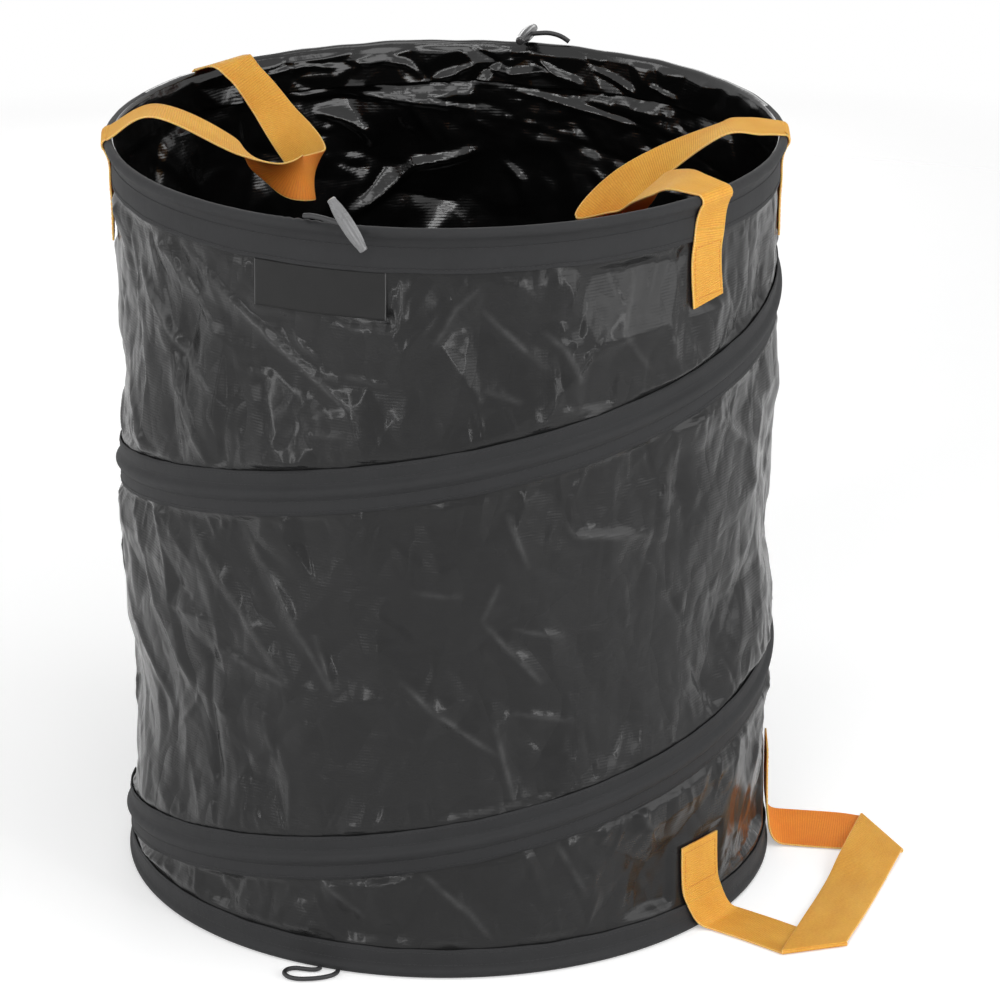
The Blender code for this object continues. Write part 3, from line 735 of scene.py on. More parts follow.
def inner_seams(azimuth, height, rng):
    """The puckers of the spiral's seams, which only the inside shows: the tape covers them outside."""
    puckers = np.abs(facets(azimuth, height, rng, 2.2, 0.009, 1.5 * MM))
    total = np.zeros(azimuth.shape)
    for middle, there in spiral_passes(azimuth):
        off = np.abs(height - middle)
        band = np.where(there, smoothstep(0.019, 0.014, off), 0.0)
        total = np.maximum(total, band * (0.0006 + puckers))
    return total


def held_flat(azimuth, height):
    """Where a label or a strap is sewn on, and keeps the cloth from standing out: 1 there, 0 elsewhere."""
    ends = [end for handle in CARRYING_HANDLES.values() for end in handle["ends"]]
    places = [(sum(LABEL_AZIMUTHS) / 2, LABEL_HOLDS, LABEL_HEIGHTS[0], WALL_TOP)]
    places += [(end, RIM_STRAP_HOLDS, RIM_TAIL_BOTTOM, WALL_TOP) for end in ends]
    places += [(tail[0][0], BASE_STRAP_HOLDS, WALL_FOOT, tail[0][2]) for tail in (FRONT_TAIL, BACK_TAIL)]
    held = np.zeros(azimuth.shape)
    for middle, half, low, high in places:
        off = np.abs(azimuth_apart(azimuth, middle)) - half
        there = smoothstep(2.0, 0.0, off) * smoothstep(low - SEAM_REACH, low, height)
        held = np.maximum(held, there * smoothstep(high + SEAM_REACH, high, height))
    return held


def wall_relief(azimuth, height):
    """How far the wall's cloth stands out from its cylinder, in metres, and how strong the painted highlight
    on its crests is.
    """
    rng = np.random.default_rng(11)
    crest_highlight = np.zeros(azimuth.shape)
    relief = sum(facets(azimuth, height, rng, across, up, deep * MM) for across, up, deep in FACETS)
    for spread in RANDOM_CREASES:
        for line in random_creases(rng, *spread):
            add_crease(relief, azimuth, height, *line)
    for line in seam_puckers(rng):
        add_crease(relief, azimuth, height, *line)
    for line in CREASES:
        add_crease(relief, azimuth, height, *line, crest_highlight=crest_highlight)
    for at, up, spread, reach, depth in DENTS:
        aside, above = azimuth_apart(azimuth, at) / spread, (height - up * MM) / (reach * MM)
        relief -= depth * MM * np.exp(-aside**2 - above**2)

    lower = np.full(azimuth.shape, BASE_SEAM)
    upper = np.full(azimuth.shape, RIM_SEAM)
    free = smoothstep(BASE_SEAM, BASE_SEAM + SEAM_REACH, height)
    free *= smoothstep(RIM_SEAM, RIM_SEAM - SEAM_REACH, height)
    for middle, there in spiral_passes(azimuth):
        off = np.where(there, np.abs(height - middle) - SPIRAL_WIDTH / 2, 1.0)
        free *= smoothstep(-0.001, 0.008, off)
        lower = np.where(there & (height > middle), np.maximum(lower, middle + SPIRAL_WIDTH / 2), lower)
        upper = np.where(there & (height < middle), np.minimum(upper, middle - SPIRAL_WIDTH / 2), upper)
    span = np.maximum(upper - lower, 1e-4)
    share = np.clip((height - lower) / span, 0, 1)
    waist = -4 * share * (1 - share) * WAIST_DEPTH * np.minimum(span / WAIST_SPAN, 1)**2
    rumple = inner_rumple(azimuth, height, rng) + inner_seams(azimuth, height, rng)
    for line in INNER_FOLDS:
        add_crease(rumple, azimuth, height, *line)
    free *= 1 - held_flat(azimuth, height)
    return free * relief + waist - rumple, free * crest_highlight


def wall():
    front = np.linspace(*FRONT, FRONT_COLUMNS)
    back = np.linspace(FRONT[1], FRONT[0] + 360, BACK_COLUMNS)[1:]
    azimuths = np.concatenate([front, back])
    heights = np.linspace(WALL_FOOT, WALL_TOP, ROWS)
    azimuth, height = np.meshgrid(azimuths[:-1], heights)
    relief, crest_highlight = wall_relief(azimuth, height)
    places = polar(azimuth, WALL_RADIUS + relief, height)
    across = np.radians(azimuths) * WALL_RADIUS
    cloth = grid("wall_cloth", places, across, heights, OUTSIDE, round_columns=True)
    # The painted highlight on the crests, kept on the mesh for its material.
    field = cloth.data.attributes.new("crest_highlight", "FLOAT", "POINT")
    field.data.foreach_set("value", crest_highlight.ravel().astype(np.float32))
    thicken(cloth, CLOTH_THICKNESS, inner_look=INSIDE)
    folds(cloth)
    stands_for(cloth, "wall_panel")


# The bindings and the spiral tape

# The waves along each tape's edges: how far they lift it out and sway it up, each with its seed and lobes.
RIM_WAVES = ((0.0004, 3, (31, 47, 70)), (0.0007, 5, (17, 29, 43)))
BASE_WAVES = ((0.0004, 7, (29, 41, 66)), (0.0007, 8, (15, 27, 39)))
SPIRAL_WAVES = ((0.0005, 21, (25, 39, 58)), (0.0006, 22, (19, 33, 51)))
# The heights from which the bindings' edges are free to wave.
RIM_HELD = 0.652
BASE_HELD = 0.012
# The middle of the rim's back, which the photograph shows from inside, and how far that goes each way.
HEM_MIDDLE = 105
HEM_SHOWN = 72
# Where the crest of the rim is gathered, over the label.
GATHER_MIDDLE = -93
GATHER_REACH = 4.5
GATHER_RISE = 0.0011
GATHER_LOBES = 110


def turned_tape(name, outline, wobble, inner=None, columns=480):
    """A closed outline of (out, height) turned round Z. wobble gives each point's moves at an azimuth.
    inner gives the stretch of the outline that has the inside's finish: where it starts in front, where
    it starts at the back, and where it ends."""
    outline = np.array(outline)
    azimuths = np.linspace(-180, 180, columns + 1)
    section = outline[:, None] + np.stack([wobble(outline, a) for a in azimuths[:-1]], 1)
    places = polar(azimuths[None, :-1], section[..., 0], section[..., 1])
    girth = lengths(np.vstack([outline, outline[:1]]))
    made = grid(name, places, np.radians(azimuths) * WALL_RADIUS, girth, TAPE, True, True)
    if inner:
        row, column = np.divmod(np.arange(len(made.data.polygons)), columns)
        shown = np.abs(azimuth_apart(azimuths[column], HEM_MIDDLE)) < HEM_SHOWN
        start = np.where(shown, inner[1], inner[0])
        finishes(made, (row >= start) & (row < inner[2]), INSIDE)
    return made


def waves(azimuth, seed, lobes):
    """A slow random wave round the bag, from -1 to 1."""
    rng = np.random.default_rng(seed)
    total = 0.0
    for k in lobes:
        total = total + rng.uniform(0.4, 1.0) * np.sin(np.radians(azimuth) * k + rng.uniform(0, 2 * math.pi))
    return total / len(lobes)


def edge_moves(edge, azimuth, tape_waves):
    """How far a tape lifts out and sways up at azimuths. edge is 1 at its edge and 0 where it is held."""
    (lift, *lift_wave), (sway, *sway_wave) = tape_waves
    return edge * lift * (1 + waves(azimuth, *lift_wave)), edge * sway * waves(azimuth, *sway_wave)


def sewn_round(body, held, seam, tape_waves, rows):
    """Rows of stitches round a binding. Each row has a name, a height and a distance out."""
    line = np.linspace(-180, 180, 2400)
    for name, up, out in rows:
        lift, sway = edge_moves(smoothstep(held, seam, up), line, tape_waves)
        made = stitches(name, polar(line, out + lift, up + sway), BLACK_THREAD)
        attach(made, body)


def rim_binding():
    inner_leg = INNER_FACE - TAPE_THICKNESS
    outside = [
        (OUTER_FACE, RIM_SEAM), (OUTER_LEG - 0.0003, RIM_SEAM), (OUTER_LEG, RIM_SEAM + 0.0005),
        (OUTER_LEG, 0.6350), (OUTER_LEG - 0.0003, 0.6366), (OUTER_LEG, 0.6382), (OUTER_LEG + 0.0002, 0.6440),
        (OUTER_LEG + 0.0002, 0.6500), (OUTER_LEG - 0.0002, 0.6546), (OUTER_LEG + 0.0004, 0.6575),
        (0.2902, 0.6605), *arc(RIM_RING, CHANNEL_OUTER, -62, 74, 12),
    ]
    hem = arc(RIM_RING, CHANNEL_OUTER, 84, 172, 8)
    hem += [(inner_leg, up) for up in np.linspace(0.6655, 0.636, 22)]
    back = [
        (INNER_FACE, 0.6370), (INNER_FACE, 0.650), (INNER_FACE, 0.6645),
        *arc(RIM_RING, CHANNEL_INNER, 190, -50, 9),
        (OUTER_FACE, 0.6600), (OUTER_FACE, 0.650), (OUTER_FACE, 0.640),
    ]
    azimuths = np.linspace(-180, 180, RIM_COLUMNS + 1)[:-1]
    levels = np.linspace(0.630, 0.672, 29)
    azimuth, height = np.meshgrid(azimuths, levels)
    bunched = 0.0006 + 0.0045 * np.exp(-(azimuth_apart(azimuth, HEM_MIDDLE) / 60)**4)
    puffs = bunched * np.abs(facets(azimuth, height, np.random.default_rng(31), 7, 0.016, 1.3))
    for line in HEM_FOLDS:
        add_crease(puffs, azimuth, height, *line)
    loose = bunched[0] * (0.5 + 0.5 * waves(azimuths, 33, (7, 12, 19)))
    lumps = 0.25 * bunched[0] * waves(azimuths, 37, (14, 23, 41))

    def wobble(points, azimuth):
        k = np.searchsorted(azimuths, azimuth)
        from_axis, rows = points.T
        edge = smoothstep(RIM_HELD, RIM_SEAM, rows) * (from_axis > OUTER_FACE - 0.0001)
        bulge = smoothstep(0.656, 0.664, rows) * (from_axis > OUTER_LEG)
        hangs = smoothstep(0.669, 0.662, rows) * (from_axis < inner_leg + 0.0001)
        out, up = edge_moves(edge, azimuth, RIM_WAVES)
        out = out + bulge * 0.0003 * waves(azimuth, 4, (23, 37, 61))
        out = out - hangs * (0.3 * loose[k] + np.interp(rows, levels, puffs[:, k]))
        up = up - hangs * smoothstep(0.646, 0.636, rows) * loose[k]
        near = math.exp(-(azimuth_apart(azimuth, GATHER_MIDDLE) / GATHER_REACH)**2)
        gather = GATHER_RISE * near * abs(math.sin(math.radians(azimuth * GATHER_LOBES)))
        up = up + smoothstep(0.662, 0.669, rows) * (gather + lumps[k])
        return np.stack([out, up], -1)

    inner = (len(outside) + 3, len(outside), len(outside) + len(hem))
    made = turned_tape("rim_binding_tape", outside + hem + back, wobble, inner, RIM_COLUMNS)
    stands_for(made, "rim_binding", body="rim")
    sewn_round("rim", RIM_HELD, RIM_SEAM, RIM_WAVES,
               (("rim_lower_stitches", 0.6366, 0.2885), ("rim_upper_stitches", 0.6546, 0.2886)))


def base_binding():
    outline = [
        (OUTER_LEG, BASE_SEAM - 0.0005), (OUTER_LEG - 0.0003, BASE_SEAM), (OUTER_FACE, BASE_SEAM),
        (OUTER_FACE, 0.018), (OUTER_FACE, 0.0100), *arc(BASE_RING, CHANNEL_INNER, 65, -250, 11),
        (INNER_FACE, 0.0096), *arc(BASE_RING, CHANNEL_OUTER, 105, 195, 7),
        (0.2780, 0.0031), (BASE_HEM_RADIUS, 0.0030), (BASE_HEM_RADIUS, 0.0018), (0.2790, 0.0018),
        *arc(BASE_RING, CHANNEL_OUTER, 218, 410, 15),
        (OUTER_LEG + 0.0002, 0.0100), (OUTER_LEG, 0.0140), (OUTER_LEG, 0.0200),
    ]

    def wobble(points, azimuth):
        edge = smoothstep(BASE_HELD, BASE_SEAM, points[:, 1]) * (points[:, 0] > OUTER_FACE - 0.0001)
        return np.stack(edge_moves(edge, azimuth, BASE_WAVES), -1)

    made = turned_tape("base_binding_tape", outline, wobble)
    stands_for(made, "base_binding", body="base")
    sewn_round("base", BASE_HELD, BASE_SEAM, BASE_WAVES,
               (("base_upper_stitches", 0.0236, 0.2885), ("base_lower_stitches", 0.0125, 0.2885)))


STITCH_LENGTH = 0.0034
STITCH_PITCH = 0.0044
STITCH_RADIUS = 0.00030
STITCH_SIDES = 6
# The rings of a stitch: where along it, and how wide, as shares of its length and radius.
STITCH_RINGS = [(-0.5, 0.35), (-0.42, 0.9), (0.0, 1.1), (0.42, 0.9), (0.5, 0.35)]


def stitches(name, line, look):
    """Short threads, end to end along a line of points, each with round ends."""
    run = lengths(line)
    count = int(run[-1] / STITCH_PITCH)
    middles = (np.arange(count) + 0.5) * STITCH_PITCH

    def on_line(at):
        return np.stack([np.interp(at, run, line[:, k]) for k in range(3)], -1)

    forward = unit(on_line(middles + 0.001) - on_line(middles - 0.001))
    outward = unit(on_line(middles) * (1, 1, 0))
    upward = np.cross(outward, forward)
    turns = np.radians(np.arange(STITCH_SIDES) * 360 / STITCH_SIDES)[:, None]
    ring = outward[:, None] * np.sin(turns) + upward[:, None] * np.cos(turns)
    middle = on_line(middles)[:, None]
    rings = [middle + forward[:, None] * share * STITCH_LENGTH + STITCH_RADIUS * wide * ring
             for share, wide in STITCH_RINGS]
    verts = np.stack(rings, 1).reshape(-1, 3)
    last = (len(STITCH_RINGS) - 1) * STITCH_SIDES
    sides = np.arange(STITCH_SIDES)
    after = (sides + 1) % STITCH_SIDES
    side_faces = np.stack([sides, after, after + STITCH_SIDES, sides + STITCH_SIDES], -1)
    quads = np.concatenate([side_faces + k for k in range(0, last, STITCH_SIDES)])
    caps = np.array([sides[::-1], last + sides])
    every = np.arange(count)[:, None, None] * (last + STITCH_SIDES)
    faces = (quads + every).reshape(-1, 4).tolist() + (caps + every).reshape(-1, STITCH_SIDES).tolist()
    data = bpy.data.meshes.new(name)
    data.from_pydata(verts, [], faces)
    layer = data.uv_layers.new(name="laid_flat")
    corners = verts[corner_points(data)]
    layer.data.foreach_set("uv", (corners[:, :2] + corners[:, 2:]).ravel())
    data.shade_smooth()
    return new_object(name, data, look)


def corner_points(data):
    """The point at each corner of a mesh's faces."""
    corners = np.zeros(len(data.loops), int)
    data.loops.foreach_get("vertex_index", corners)
    return corners


# Half of the spiral tape's section: up from its middle, and out from the wall.
SPIRAL_HALF = [
    (0.0, 0.0053), (0.0015, 0.0051), (0.0030, 0.0044), (0.0045, 0.0031), (0.0058, 0.0018),
    (0.0072, 0.0011), (0.0095, 0.0012), (0.0130, 0.0012), (0.0170, 0.0010), (0.0200, 0.0009),
]
SPIRAL_FLAT = SPIRAL_HALF[-1][1]
SPIRAL_SEAMS = (-0.0172, -0.0078, 0.0078, 0.0172)


def spiral_edge(up):
    """1 along the edges of the spiral tape, and 0 beside its wire."""
    return np.clip((np.abs(up) - 0.008) / 0.012, 0, 1)


def spiral_tape():
    section = [(-up, out) for up, out in SPIRAL_HALF[:0:-1]] + SPIRAL_HALF
    azimuths = np.linspace(SPIRAL_START - SPIRAL_TAPE_RUNS_ON, SPIRAL_END + SPIRAL_TAPE_RUNS_ON, 680)
    up, out = np.array(section).T[..., None]
    closed = smoothstep(azimuths[0], azimuths[0] + 1.2, azimuths)
    closed = closed * smoothstep(azimuths[-1], azimuths[-1] - 1.2, azimuths)
    lift, sway = edge_moves(spiral_edge(up), azimuths, SPIRAL_WAVES)
    height = np.clip(spiral_height(azimuths) + up + sway, BASE_SEAM + GAP, RIM_SEAM - GAP)
    places = polar(azimuths, OUTER_FACE + SPIRAL_FLAT + (out - SPIRAL_FLAT) * closed + lift, height)
    along = np.radians(azimuths) * WALL_RADIUS
    made = grid("spiral_tape_cloth", places, along, lengths(np.array(section)), TAPE)
    thicken(made, 0.0008)
    folds(made)
    stands_for(made, "spiral_tape")

    azimuths = np.linspace(SPIRAL_START, SPIRAL_END, 4200)
    for k, beside in enumerate(SPIRAL_SEAMS, start=1):
        lift, sway = edge_moves(spiral_edge(beside), azimuths, SPIRAL_WAVES)
        up = spiral_height(azimuths) + beside + sway
        kept = (up > BASE_SEAM + GAP) & (up < RIM_SEAM - GAP)
        line = polar(azimuths, OUTER_FACE + 0.0011 + lift, up)[kept]
        seam = stitches(f"spiral_stitches_{k}", line, BLACK_THREAD)
        folds(seam)

    azimuths = np.linspace(SPIRAL_START - SPIRAL_WIRE_RUNS_ON, SPIRAL_END + SPIRAL_WIRE_RUNS_ON, 320)
    line = polar(azimuths, OUTER_FACE + SPIRAL_WIRE_OUT, spiral_height(azimuths))
    wire = tube("spiral_spring_wire", line, WIRE_RADIUS, STEEL, sides=8)
    folds(wire)
    stands_for(wire, "spiral_wire")


def base_cloth():
    outs = np.linspace(0, BASE_PANEL_RADIUS, 60)
    azimuths = np.linspace(-180, 180, 181)
    azimuth, out = np.meshgrid(azimuths[:-1], outs)
    rng = np.random.default_rng(5)
    x, y, lift = np.moveaxis(polar(azimuth, out, 0.0), -1, 0)
    for _ in range(26):
        cx, cy = rng.uniform(-0.25, 0.25, 2)
        turn = rng.uniform(0, math.pi)
        aside = (x - cx) * math.sin(turn) - (y - cy) * math.cos(turn)
        along = (x - cx) * math.cos(turn) + (y - cy) * math.sin(turn)
        lift += 0.0022 * np.clip(1 - np.abs(aside) / 0.025, 0, 1)**1.5 * np.exp(-(along / 0.09)**2)
    lift *= smoothstep(BASE_HEM_RADIUS - 0.002, BASE_HEM_RADIUS - 0.03, out)
    places = np.stack([x, y, 0.0015 + lift], -1)
    made = grid("base_cloth", places, azimuths / 360, outs, INSIDE, round_columns=True)
    uvs = places.reshape(-1, 3)[corner_points(made.data), :2]
    made.data.uv_layers["laid_flat"].data.foreach_set("uv", uvs.ravel())
    thicken(made, 0.0013)
    stands_for(made, "base_panel", body="base")


def label_patch():
    azimuths = np.linspace(*LABEL_AZIMUTHS, LABEL_COLUMNS + 1)
    azimuths[1], azimuths[-2] = azimuths[0] + LABEL_EDGE, azimuths[-1] - LABEL_EDGE
    heights = np.linspace(*LABEL_HEIGHTS, 20)
    azimuth, height = np.meshgrid(azimuths, heights)
    down = (LABEL_HEIGHTS[1] - height) / (LABEL_HEIGHTS[1] - LABEL_HEIGHTS[0])
    side = (azimuth - LABEL_AZIMUTHS[0]) / (LABEL_AZIMUTHS[1] - LABEL_AZIMUTHS[0])
    lift = 0.0032 * down**2 * (smoothstep(0.62, 1.0, side)**2 + 0.3 * smoothstep(0.2, 0.0, side))
    lift += 0.0003 * np.sin(side * 9 + down * 3)
    places = polar(azimuth, OUTER_FACE + 0.0008 + np.maximum(lift, 0), height)
    made = grid("bare_label_patch", places, np.radians(azimuths) * WALL_RADIUS, heights, PATCH)
    column = np.arange(len(made.data.polygons)) % LABEL_COLUMNS
    finishes(made, (column == 0) | (column == LABEL_COLUMNS - 1), PATCH_EDGE)
    thicken(made, 0.0006)
    folds(made)
    stands_for(made, "label_patch")


# The straps

STRAP_STEP = 0.003
STRAP_FLAT_POINTS = 13
STRAP_ROUND_TURNS = np.radians([60, 30, 0, -30, -60])


def strap_mesh(name, line, width, rounding, square=False, turned=0):
    """A strap with round edges, through stations of a middle and a half width towards its first edge.
    Stations lie across it at the slant they are given, or square to its run. rounding is how much of the
    half width is round. The strap has a finish on its first face, a deeper orange of painted shade on its
    other face, and a lighter orange of painted highlight on its edges; in its first rows, as many as turned
    says, the two faces change places."""
    line = crisp_ends(line)
    middle, aside = line[:, :3], line[:, 3:6]
    run = unit(np.gradient(middle, axis=0))
    if square:
        aside = unit(aside - run * np.sum(aside * run, 1, keepdims=True)) * width / 2
    thick = unit(np.cross(run, aside)) * STRAP_THICKNESS / 2
    flat = 1 - rounding
    ring = [(x, 1.0) for x in np.linspace(flat, -flat, STRAP_FLAT_POINTS)]
    ring += [(-flat - rounding * math.cos(t), math.sin(t)) for t in STRAP_ROUND_TURNS]
    ring = np.array(ring + [(-x, -y) for x, y in ring])
    rings = middle[:, None] + aside[:, None] * ring[None, :, :1] + thick[:, None] * ring[None, :, 1:]
    places = np.concatenate([np.repeat(middle[:1, None], len(ring), 1), rings,
                             np.repeat(middle[-1:, None], len(ring), 1)])
    along = lengths(middle)
    along = np.concatenate([along[:1], along, along[-1:]])
    girth = lengths(np.vstack([ring, ring[:1]]) * (width / 2, STRAP_THICKNESS / 2))
    strap = grid(name, places, girth, along, WEBBING, round_columns=True)
    row, column = np.divmod(np.arange(len(strap.data.polygons)), len(ring))
    other, across = np.divmod(column, len(ring) // 2)
    kind = np.where(row < turned, 1 - other, other)
    finishes(strap, np.where(across < STRAP_FLAT_POINTS - 1, kind, 2), WEBBING_SHADED, WEBBING_EDGE_HIGHLIGHT)
    return strap


def crisp_ends(line):
    """A line with a point just inside each end, so that the rounding of its shading stops there."""
    first, last = unit(line[1, :3] - line[0, :3]), unit(line[-2, :3] - line[-1, :3])
    near_first, near_last = line[0].copy(), line[-1].copy()
    near_first[:3] += first * 0.0002
    near_last[:3] += last * 0.0002
    return np.vstack([line[:1], near_first, line[1:-1], near_last, line[-1:]])


def sewn_on(strap, tail, half, low, high):
    """Sews a strap's end on, with a box of stitches on its outer face between two heights."""
    upright = tail if tail[0, 2] < tail[-1, 2] else tail[::-1]
    rows = upright[(upright[:, 2] > low) & (upright[:, 2] < high)]
    outer = rows[:, :3] + unit(rows[:, :3] * (1, 1, 0)) * (STRAP_THICKNESS / 2 + 0.0001)
    aside = unit(rows[:, 3:6]) * half
    corners = [outer[0] - aside[0], *(outer + aside), *(outer - aside)[::-1], outer[0] + aside[0]]
    line = []
    for a, b in zip(corners, corners[1:]):
        line += [a + (b - a) * share for share in np.linspace(0, 1, 12, endpoint=False)]
    sewn = stitches("stitches", np.array(line), ORANGE_THREAD)
    strap.data.materials.append(ORANGE_THREAD)
    joined = bmesh.new()
    joined.from_mesh(strap.data)
    before = len(joined.faces)
    joined.from_mesh(sewn.data)
    joined.faces.ensure_lookup_table()
    for face in joined.faces[before:]:
        face.material_index = len(strap.data.materials) - 1
    joined.to_mesh(strap.data)
    joined.free()
    bpy.data.objects.remove(sewn)


def split_at(line, height):
    """A tail's line, from its foot, cut where it first reaches a height. Both parts hold the cut."""
    k = int(np.argmax(line[:, 2] > height))
    share = (height - line[k - 1, 2]) / (line[k, 2] - line[k - 1, 2])
    cut = line[k - 1] + share * (line[k] - line[k - 1])
    return np.vstack([line[:k], cut]), np.vstack([cut, line[k:]])


def rim_tail(azimuth, first_edge, bottom, sway):
    on_wall = OUTER_FACE + STRAP_THICKNESS / 2
    on_leg = on_wall + TAPE_THICKNESS
    section = [(on_wall, bottom), (on_wall, 0.600), (on_wall + GAP, 0.618), (on_leg, RIM_SEAM),
               (on_leg, 0.647), (on_leg + 0.0012, 0.6555)]
    section += arc(RIM_RING, CHANNEL_OUTER + GAP + STRAP_THICKNESS / 2, -50, 90, 6)
    swings = [0.25 * sway, 0.8 * sway, sway, 0.7 * sway, 0.2 * sway] + [0] * (len(section) - 5)
    to_edge = polar(first_edge, 1, 0)
    return [(*polar(azimuth + swing, *point), *to_edge) for point, swing in zip(section, swings)]


def carrying_handle(name, handle):
    first, last = handle["ends"]
    start = rim_tail(first, first - 90, handle["bottoms"][0], handle["sways"][0])
    end = rim_tail(last, last + 90, handle["bottoms"][1], handle["sways"][1])
    placed = [(Vector(s[:3]) * MM, math.radians(s[3])) for s in handle["stations"]]
    places = [Vector(start[-1][:3]), *(place for place, turn in placed), Vector(end[-1][:3])]
    loop = []
    for k, (place, turn) in enumerate(placed, start=1):
        run = (places[k + 1] - places[k - 1]).normalized()
        side = Vector((0, 0, 1)).cross(run).normalized()
        loop.append((*place, *(side * math.cos(turn) + run.cross(side) * math.sin(turn))))
    line = smooth_route(start + loop + end[::-1], STRAP_STEP)

    shape = {"width": RIM_STRAP_WIDTH, "rounding": STRAP_THICKNESS / RIM_STRAP_WIDTH, "square": True}
    front_tail, line = split_at(line, RIM_TAIL_SPLIT)
    back_tail, line = split_at(line[::-1], RIM_TAIL_SPLIT)
    for side, tail in (("front", front_tail), ("back", back_tail[::-1])):
        made = strap_mesh(f"{name}_handle_{side}_tail", tail, **shape)
        sewn_on(made, tail, 0.0165, min(tail[:, 2]) + 0.004, 0.6300)
        folds(made, "rim", RIM_TAIL_SPLIT)
        stands_for(made, f"{name}_handle_{side}_end")
    made = strap_mesh(f"{name}_handle_strap", line[::-1], **shape)
    out, height = handle["hinge"]
    facing = polar(handle["faces"], 1, 0)
    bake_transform(made)
    stands_for(made, f"{name}_handle_loop")


def towards_edge(azimuth, rise):
    half = BASE_STRAP_WIDTH / 2
    return polar(azimuth, math.sqrt(half**2 - rise**2), rise)


def flat_fold(edges, from_low):
    """The stations round a flat fold, where the strap turns over on a line on the ground."""
    first, second = (Vector(edge) for edge in edges)
    half = (first - second) / 2
    middle = (first + second) / 2 + Vector((0, 0, LAYER_STEP / 2))
    away = Vector((half.y, -half.x, 0)).normalized()
    if away.dot(middle) < 0:
        away = -away
    stations = []
    for turn in np.radians([-90, -45, 0, 45, 90]):
        around = away * math.cos(turn) + Vector((0, 0, math.sin(turn)))
        stations.append((*(middle + around * LAYER_STEP / 2), *half))
    return stations if from_low else stations[::-1]


def base_handle():
    def flat(run):
        return [(*s[:3], *towards_edge(*s[3:])) for s in run]

    down = [(*polar(*s[:3]), *towards_edge(s[0] - 90, s[3])) for s in FRONT_TAIL]
    up = [(*polar(*s[:3]), *towards_edge(s[0] + 90, s[3])) for s in BACK_TAIL]
    line = (
        down + flat(FRONT_RUN) + flat_fold(FRONT_FOLD, True) + flat(ACROSS_RUN)
        + flat_fold(BACK_FOLD, False) + flat(BACK_RUN) + up[::-1]
    )
    line = smooth_route(line, STRAP_STEP)
    k = int(np.argmax(line[:, 2] < BASE_TAIL_SPLIT))
    j = len(line) - int(np.argmax(line[::-1, 2] < BASE_TAIL_SPLIT))
    front_tail, back_tail, line = line[:k + 1], line[j - 1:], line[k:j]
    for side, tail, join in (("front", front_tail, -1), ("back", back_tail, 0)):
        made = strap_mesh(f"base_handle_{side}_tail", tail, BASE_STRAP_WIDTH, 0.03, turned=len(tail) + 4)
        sewn_on(made, tail, 0.0210, 0.042, max(tail[:, 2]) - 0.004)
        folds(made, "base", tail[join, 2])
        stands_for(made, f"base_handle_{side}_end")
    at_fold = int(np.argmin(np.linalg.norm(line[:, :3] - np.mean(FRONT_FOLD, 0), axis=1)))
    made = strap_mesh("base_handle_strap", line, BASE_STRAP_WIDTH, 0.03, turned=at_fold + 2)
    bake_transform(made)
    stands_for(made, "base_handle_loop")


# The toggles and cords

def limp_cord(name, node, route, radius, far_end, **holds):
    """A cord along a route from where it leaves the bag, for a node whose body has the same name."""
    line = smooth_route(route, 0.0015)
    data = bpy.data.curves.new(name, "CURVE")
    data.dimensions = "3D"
    data.bevel_depth = radius
    data.bevel_resolution = 5
    data.use_fill_caps = True
    spline = data.splines.new("POLY")
    spline.points.add(len(line) - 1)
    for target, point in zip(spline.points, line):
        target.co = (*point, 1)
    spline.use_smooth = True
    made = new_object(name, data, CORD)
    stands_for(made, node, body=node)
    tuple(route[0])
    lengths(line)[-1]


def toggle(name, lies_along, route, look):
    """A spindle with shallow ridges along it and a rounded lip at each end, and its cord."""
    half = TOGGLE_LENGTH / 2
    profile = [(0.0, half), (0.0022, half), (0.0034, half - 0.0003), (0.0039, half - 0.0012),
               (0.0037, half - 0.0026), (0.0042, half - 0.0045), (0.0050, half - 0.0080),
               (0.0057, half - 0.0130), (0.0061, half - 0.0190), (0.0062, 0.0)]
    profile = profile + [(out, -height) for out, height in profile[-2::-1]]
    out, height = np.array(profile).T[..., None]
    turns = np.linspace(0, 360, 97)
    ridge = 1 - TOGGLE_RIDGE * np.sin(np.radians(turns[:-1] * 4))**2 * smoothstep(0.0036, 0.0048, out)
    places = polar(turns[:-1], out * ridge, height)[::-1]
    girth = turns / 360 * TOGGLE_GIRTH
    made = grid(f"{name}_toggle_spindle", places, girth, lengths(np.array(profile)), look, round_columns=True)
    turn = Vector(lies_along).to_track_quat("Z", "Y").to_matrix().to_4x4()
    turn.translation = Vector(route[-1])
    made.data.transform(turn)
    stands_for(made, f"{name}_toggle", body=f"{name}_toggle")
    limp_cord(f"{name}_toggle_cord", f"{name}_cord", route, CORD_RADIUS, "fitting", with_pieces=[made])


def base_loop(name, turn):
    facing, along = polar(turn, 1, 0), polar(turn + 90, 1, 0)
    route = [along * x + facing * out + (0, 0, LOOP_HEIGHT) for x, out in LOOP_ROUTE]
    limp_cord(f"{name}_base_cord_loop", f"{name}_base_loop", route, LOOP_RADIUS, "object")


# The studio

ROOM_LIGHT = 0.24
ROOM_SEEN = 1.0
FLOOR_GLOW = 0.37
SOFTBOXES_FACE = (0, 0, 0.35)
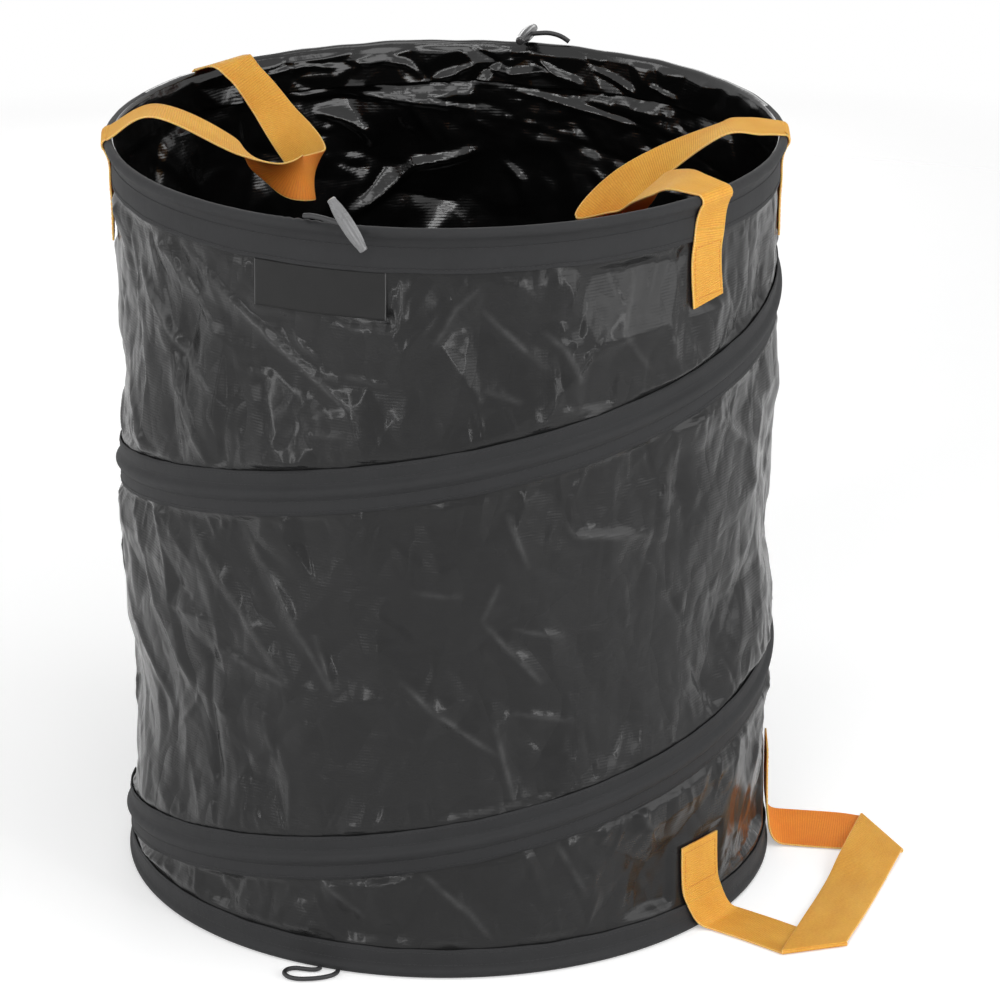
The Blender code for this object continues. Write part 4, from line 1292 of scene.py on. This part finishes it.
# Softboxes: name, azimuth, distance out, height, width, height of its face, and how bright its face is.
SOFTBOXES = [
    ("right_softbox", -6, 2.2, 0.95, 2.0, 1.4, 2.7),
    ("right_strip", -34, 1.9, 0.75, 0.09, 1.4, 12.0),
    ("front_left_strip", -98, 2.2, 0.75, 0.10, 1.4, 13.0),
    ("left_strip", -120, 2.0, 0.75, 0.12, 1.4, 11.0),
    ("left_softbox", -150, 2.2, 0.95, 0.7, 1.4, 3.0),
    ("front_softbox", -86, 3.4, 2.2, 1.2, 0.5, 7.0),
    ("high_front_softbox", -72, 2.6, 2.9, 1.6, 0.8, 4.0),
    ("back_softbox", 112, 2.2, 0.9, 1.2, 1.6, 1.4),
    ("back_strip", 118, 2.2, 0.9, 0.14, 1.4, 3.5),
    ("top_softbox", -20, 0.5, 2.8, 1.6, 1.6, 2.4),
]


def looked_at(tree):
    """1 for what the camera sees, straight or by way of a gloss or a clear thing, and 0 for light."""
    path = tree.nodes.new("ShaderNodeLightPath")
    seen = path.outputs["Is Camera Ray"]
    for kind in ("Is Glossy Ray", "Is Transmission Ray"):
        either = tree.nodes.new("ShaderNodeMath")
        either.operation = "MAXIMUM"
        tree.links.new(seen, either.inputs[0])
        tree.links.new(path.outputs[kind], either.inputs[1])
        seen = either.outputs[0]
    return seen


def studio():
    scene = bpy.context.scene
    scene.view_settings.view_transform = "Standard"
    camera = bpy.data.objects.new("camera", bpy.data.cameras.new("camera"))
    camera.data.lens = CAMERA_LENS
    camera.data.sensor_width = CAMERA_SENSOR
    camera.location = CAMERA_AT
    camera.rotation_mode = "QUATERNION"
    camera.rotation_quaternion = Vector(CAMERA_LOOKS).to_track_quat("-Z", "Y")
    scene.collection.objects.link(camera)
    scene.camera = camera

    for name, azimuth, out, up, width, tall, level in SOFTBOXES:
        lamp = bpy.data.objects.new(name, bpy.data.lights.new(name, "AREA"))
        lamp.data.shape = "RECTANGLE"
        lamp.data.size, lamp.data.size_y = width, tall
        lamp.data.energy = level * math.pi * width * tall
        lamp.location = polar(azimuth, out, up)
        lamp.rotation_mode = "QUATERNION"
        lamp.rotation_quaternion = (lamp.location - Vector(SOFTBOXES_FACE)).to_track_quat("Z", "Y")
        lamp.visible_camera = False
        scene.collection.objects.link(lamp)

    world = bpy.data.worlds.new("white_studio")
    scene.world = world
    world.use_nodes = True
    tree = world.node_tree
    tree.nodes.clear()
    mixed = tree.nodes.new("ShaderNodeMixShader")
    tree.links.new(looked_at(tree), mixed.inputs[0])
    for k, strength in ((1, ROOM_LIGHT), (2, ROOM_SEEN)):
        light = tree.nodes.new("ShaderNodeBackground")
        light.inputs["Color"].default_value = (1, 1, 1, 1)
        light.inputs["Strength"].default_value = strength
        tree.links.new(light.outputs[0], mixed.inputs[k])
    tree.links.new(mixed.outputs[0], tree.nodes.new("ShaderNodeOutputWorld").inputs[0])

    outs = np.linspace(0, FLOOR_REACH, 12)
    azimuths = np.linspace(-180, 180, 97)
    places = polar(azimuths[None, :-1], outs[:, None], -FLOOR_GAP)
    floor = grid("floor", places, azimuths / 360, outs, floor_material(), round_columns=True)


def floor_material():
    """A pale floor that runs out into the white all round it."""
    n = Nodes("pale_floor", (0.84, 0.84, 0.84), 0.9, Specular_IOR_Level=0.1)
    glow = n.math("MULTIPLY", looked_at(n.tree), FLOOR_GLOW)
    out = n.node("SeparateXYZ", "Y", Vector=n.laid_flat())
    return n.finish(Emission_Color=(1, 1, 1, 1), Emission_Strength=glow,
                    Alpha=n.ramp(out, FLOOR_REACH, FLOOR_FADES_FROM))


studio()
for node in ("rim_ring_wire", "rim_ring_ferrule", "base_ring_wire", "base_ring_ferrule"):
    steel_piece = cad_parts[node]
    steel_piece.data.materials.clear()
    steel_piece.data.materials.append(STEEL)
rim_binding()
base_binding()
wall()
base_cloth()
spiral_tape()
label_patch()
for name, handle in CARRYING_HANDLES.items():
    carrying_handle(name, handle)
base_handle()
toggle("front", FRONT_TOGGLE_ALONG, FRONT_CORD, GREY_PLASTIC)
toggle("back", BACK_TOGGLE_ALONG, BACK_CORD, DARK_PLASTIC)
base_loop("front", -90)
base_loop("back", 90)
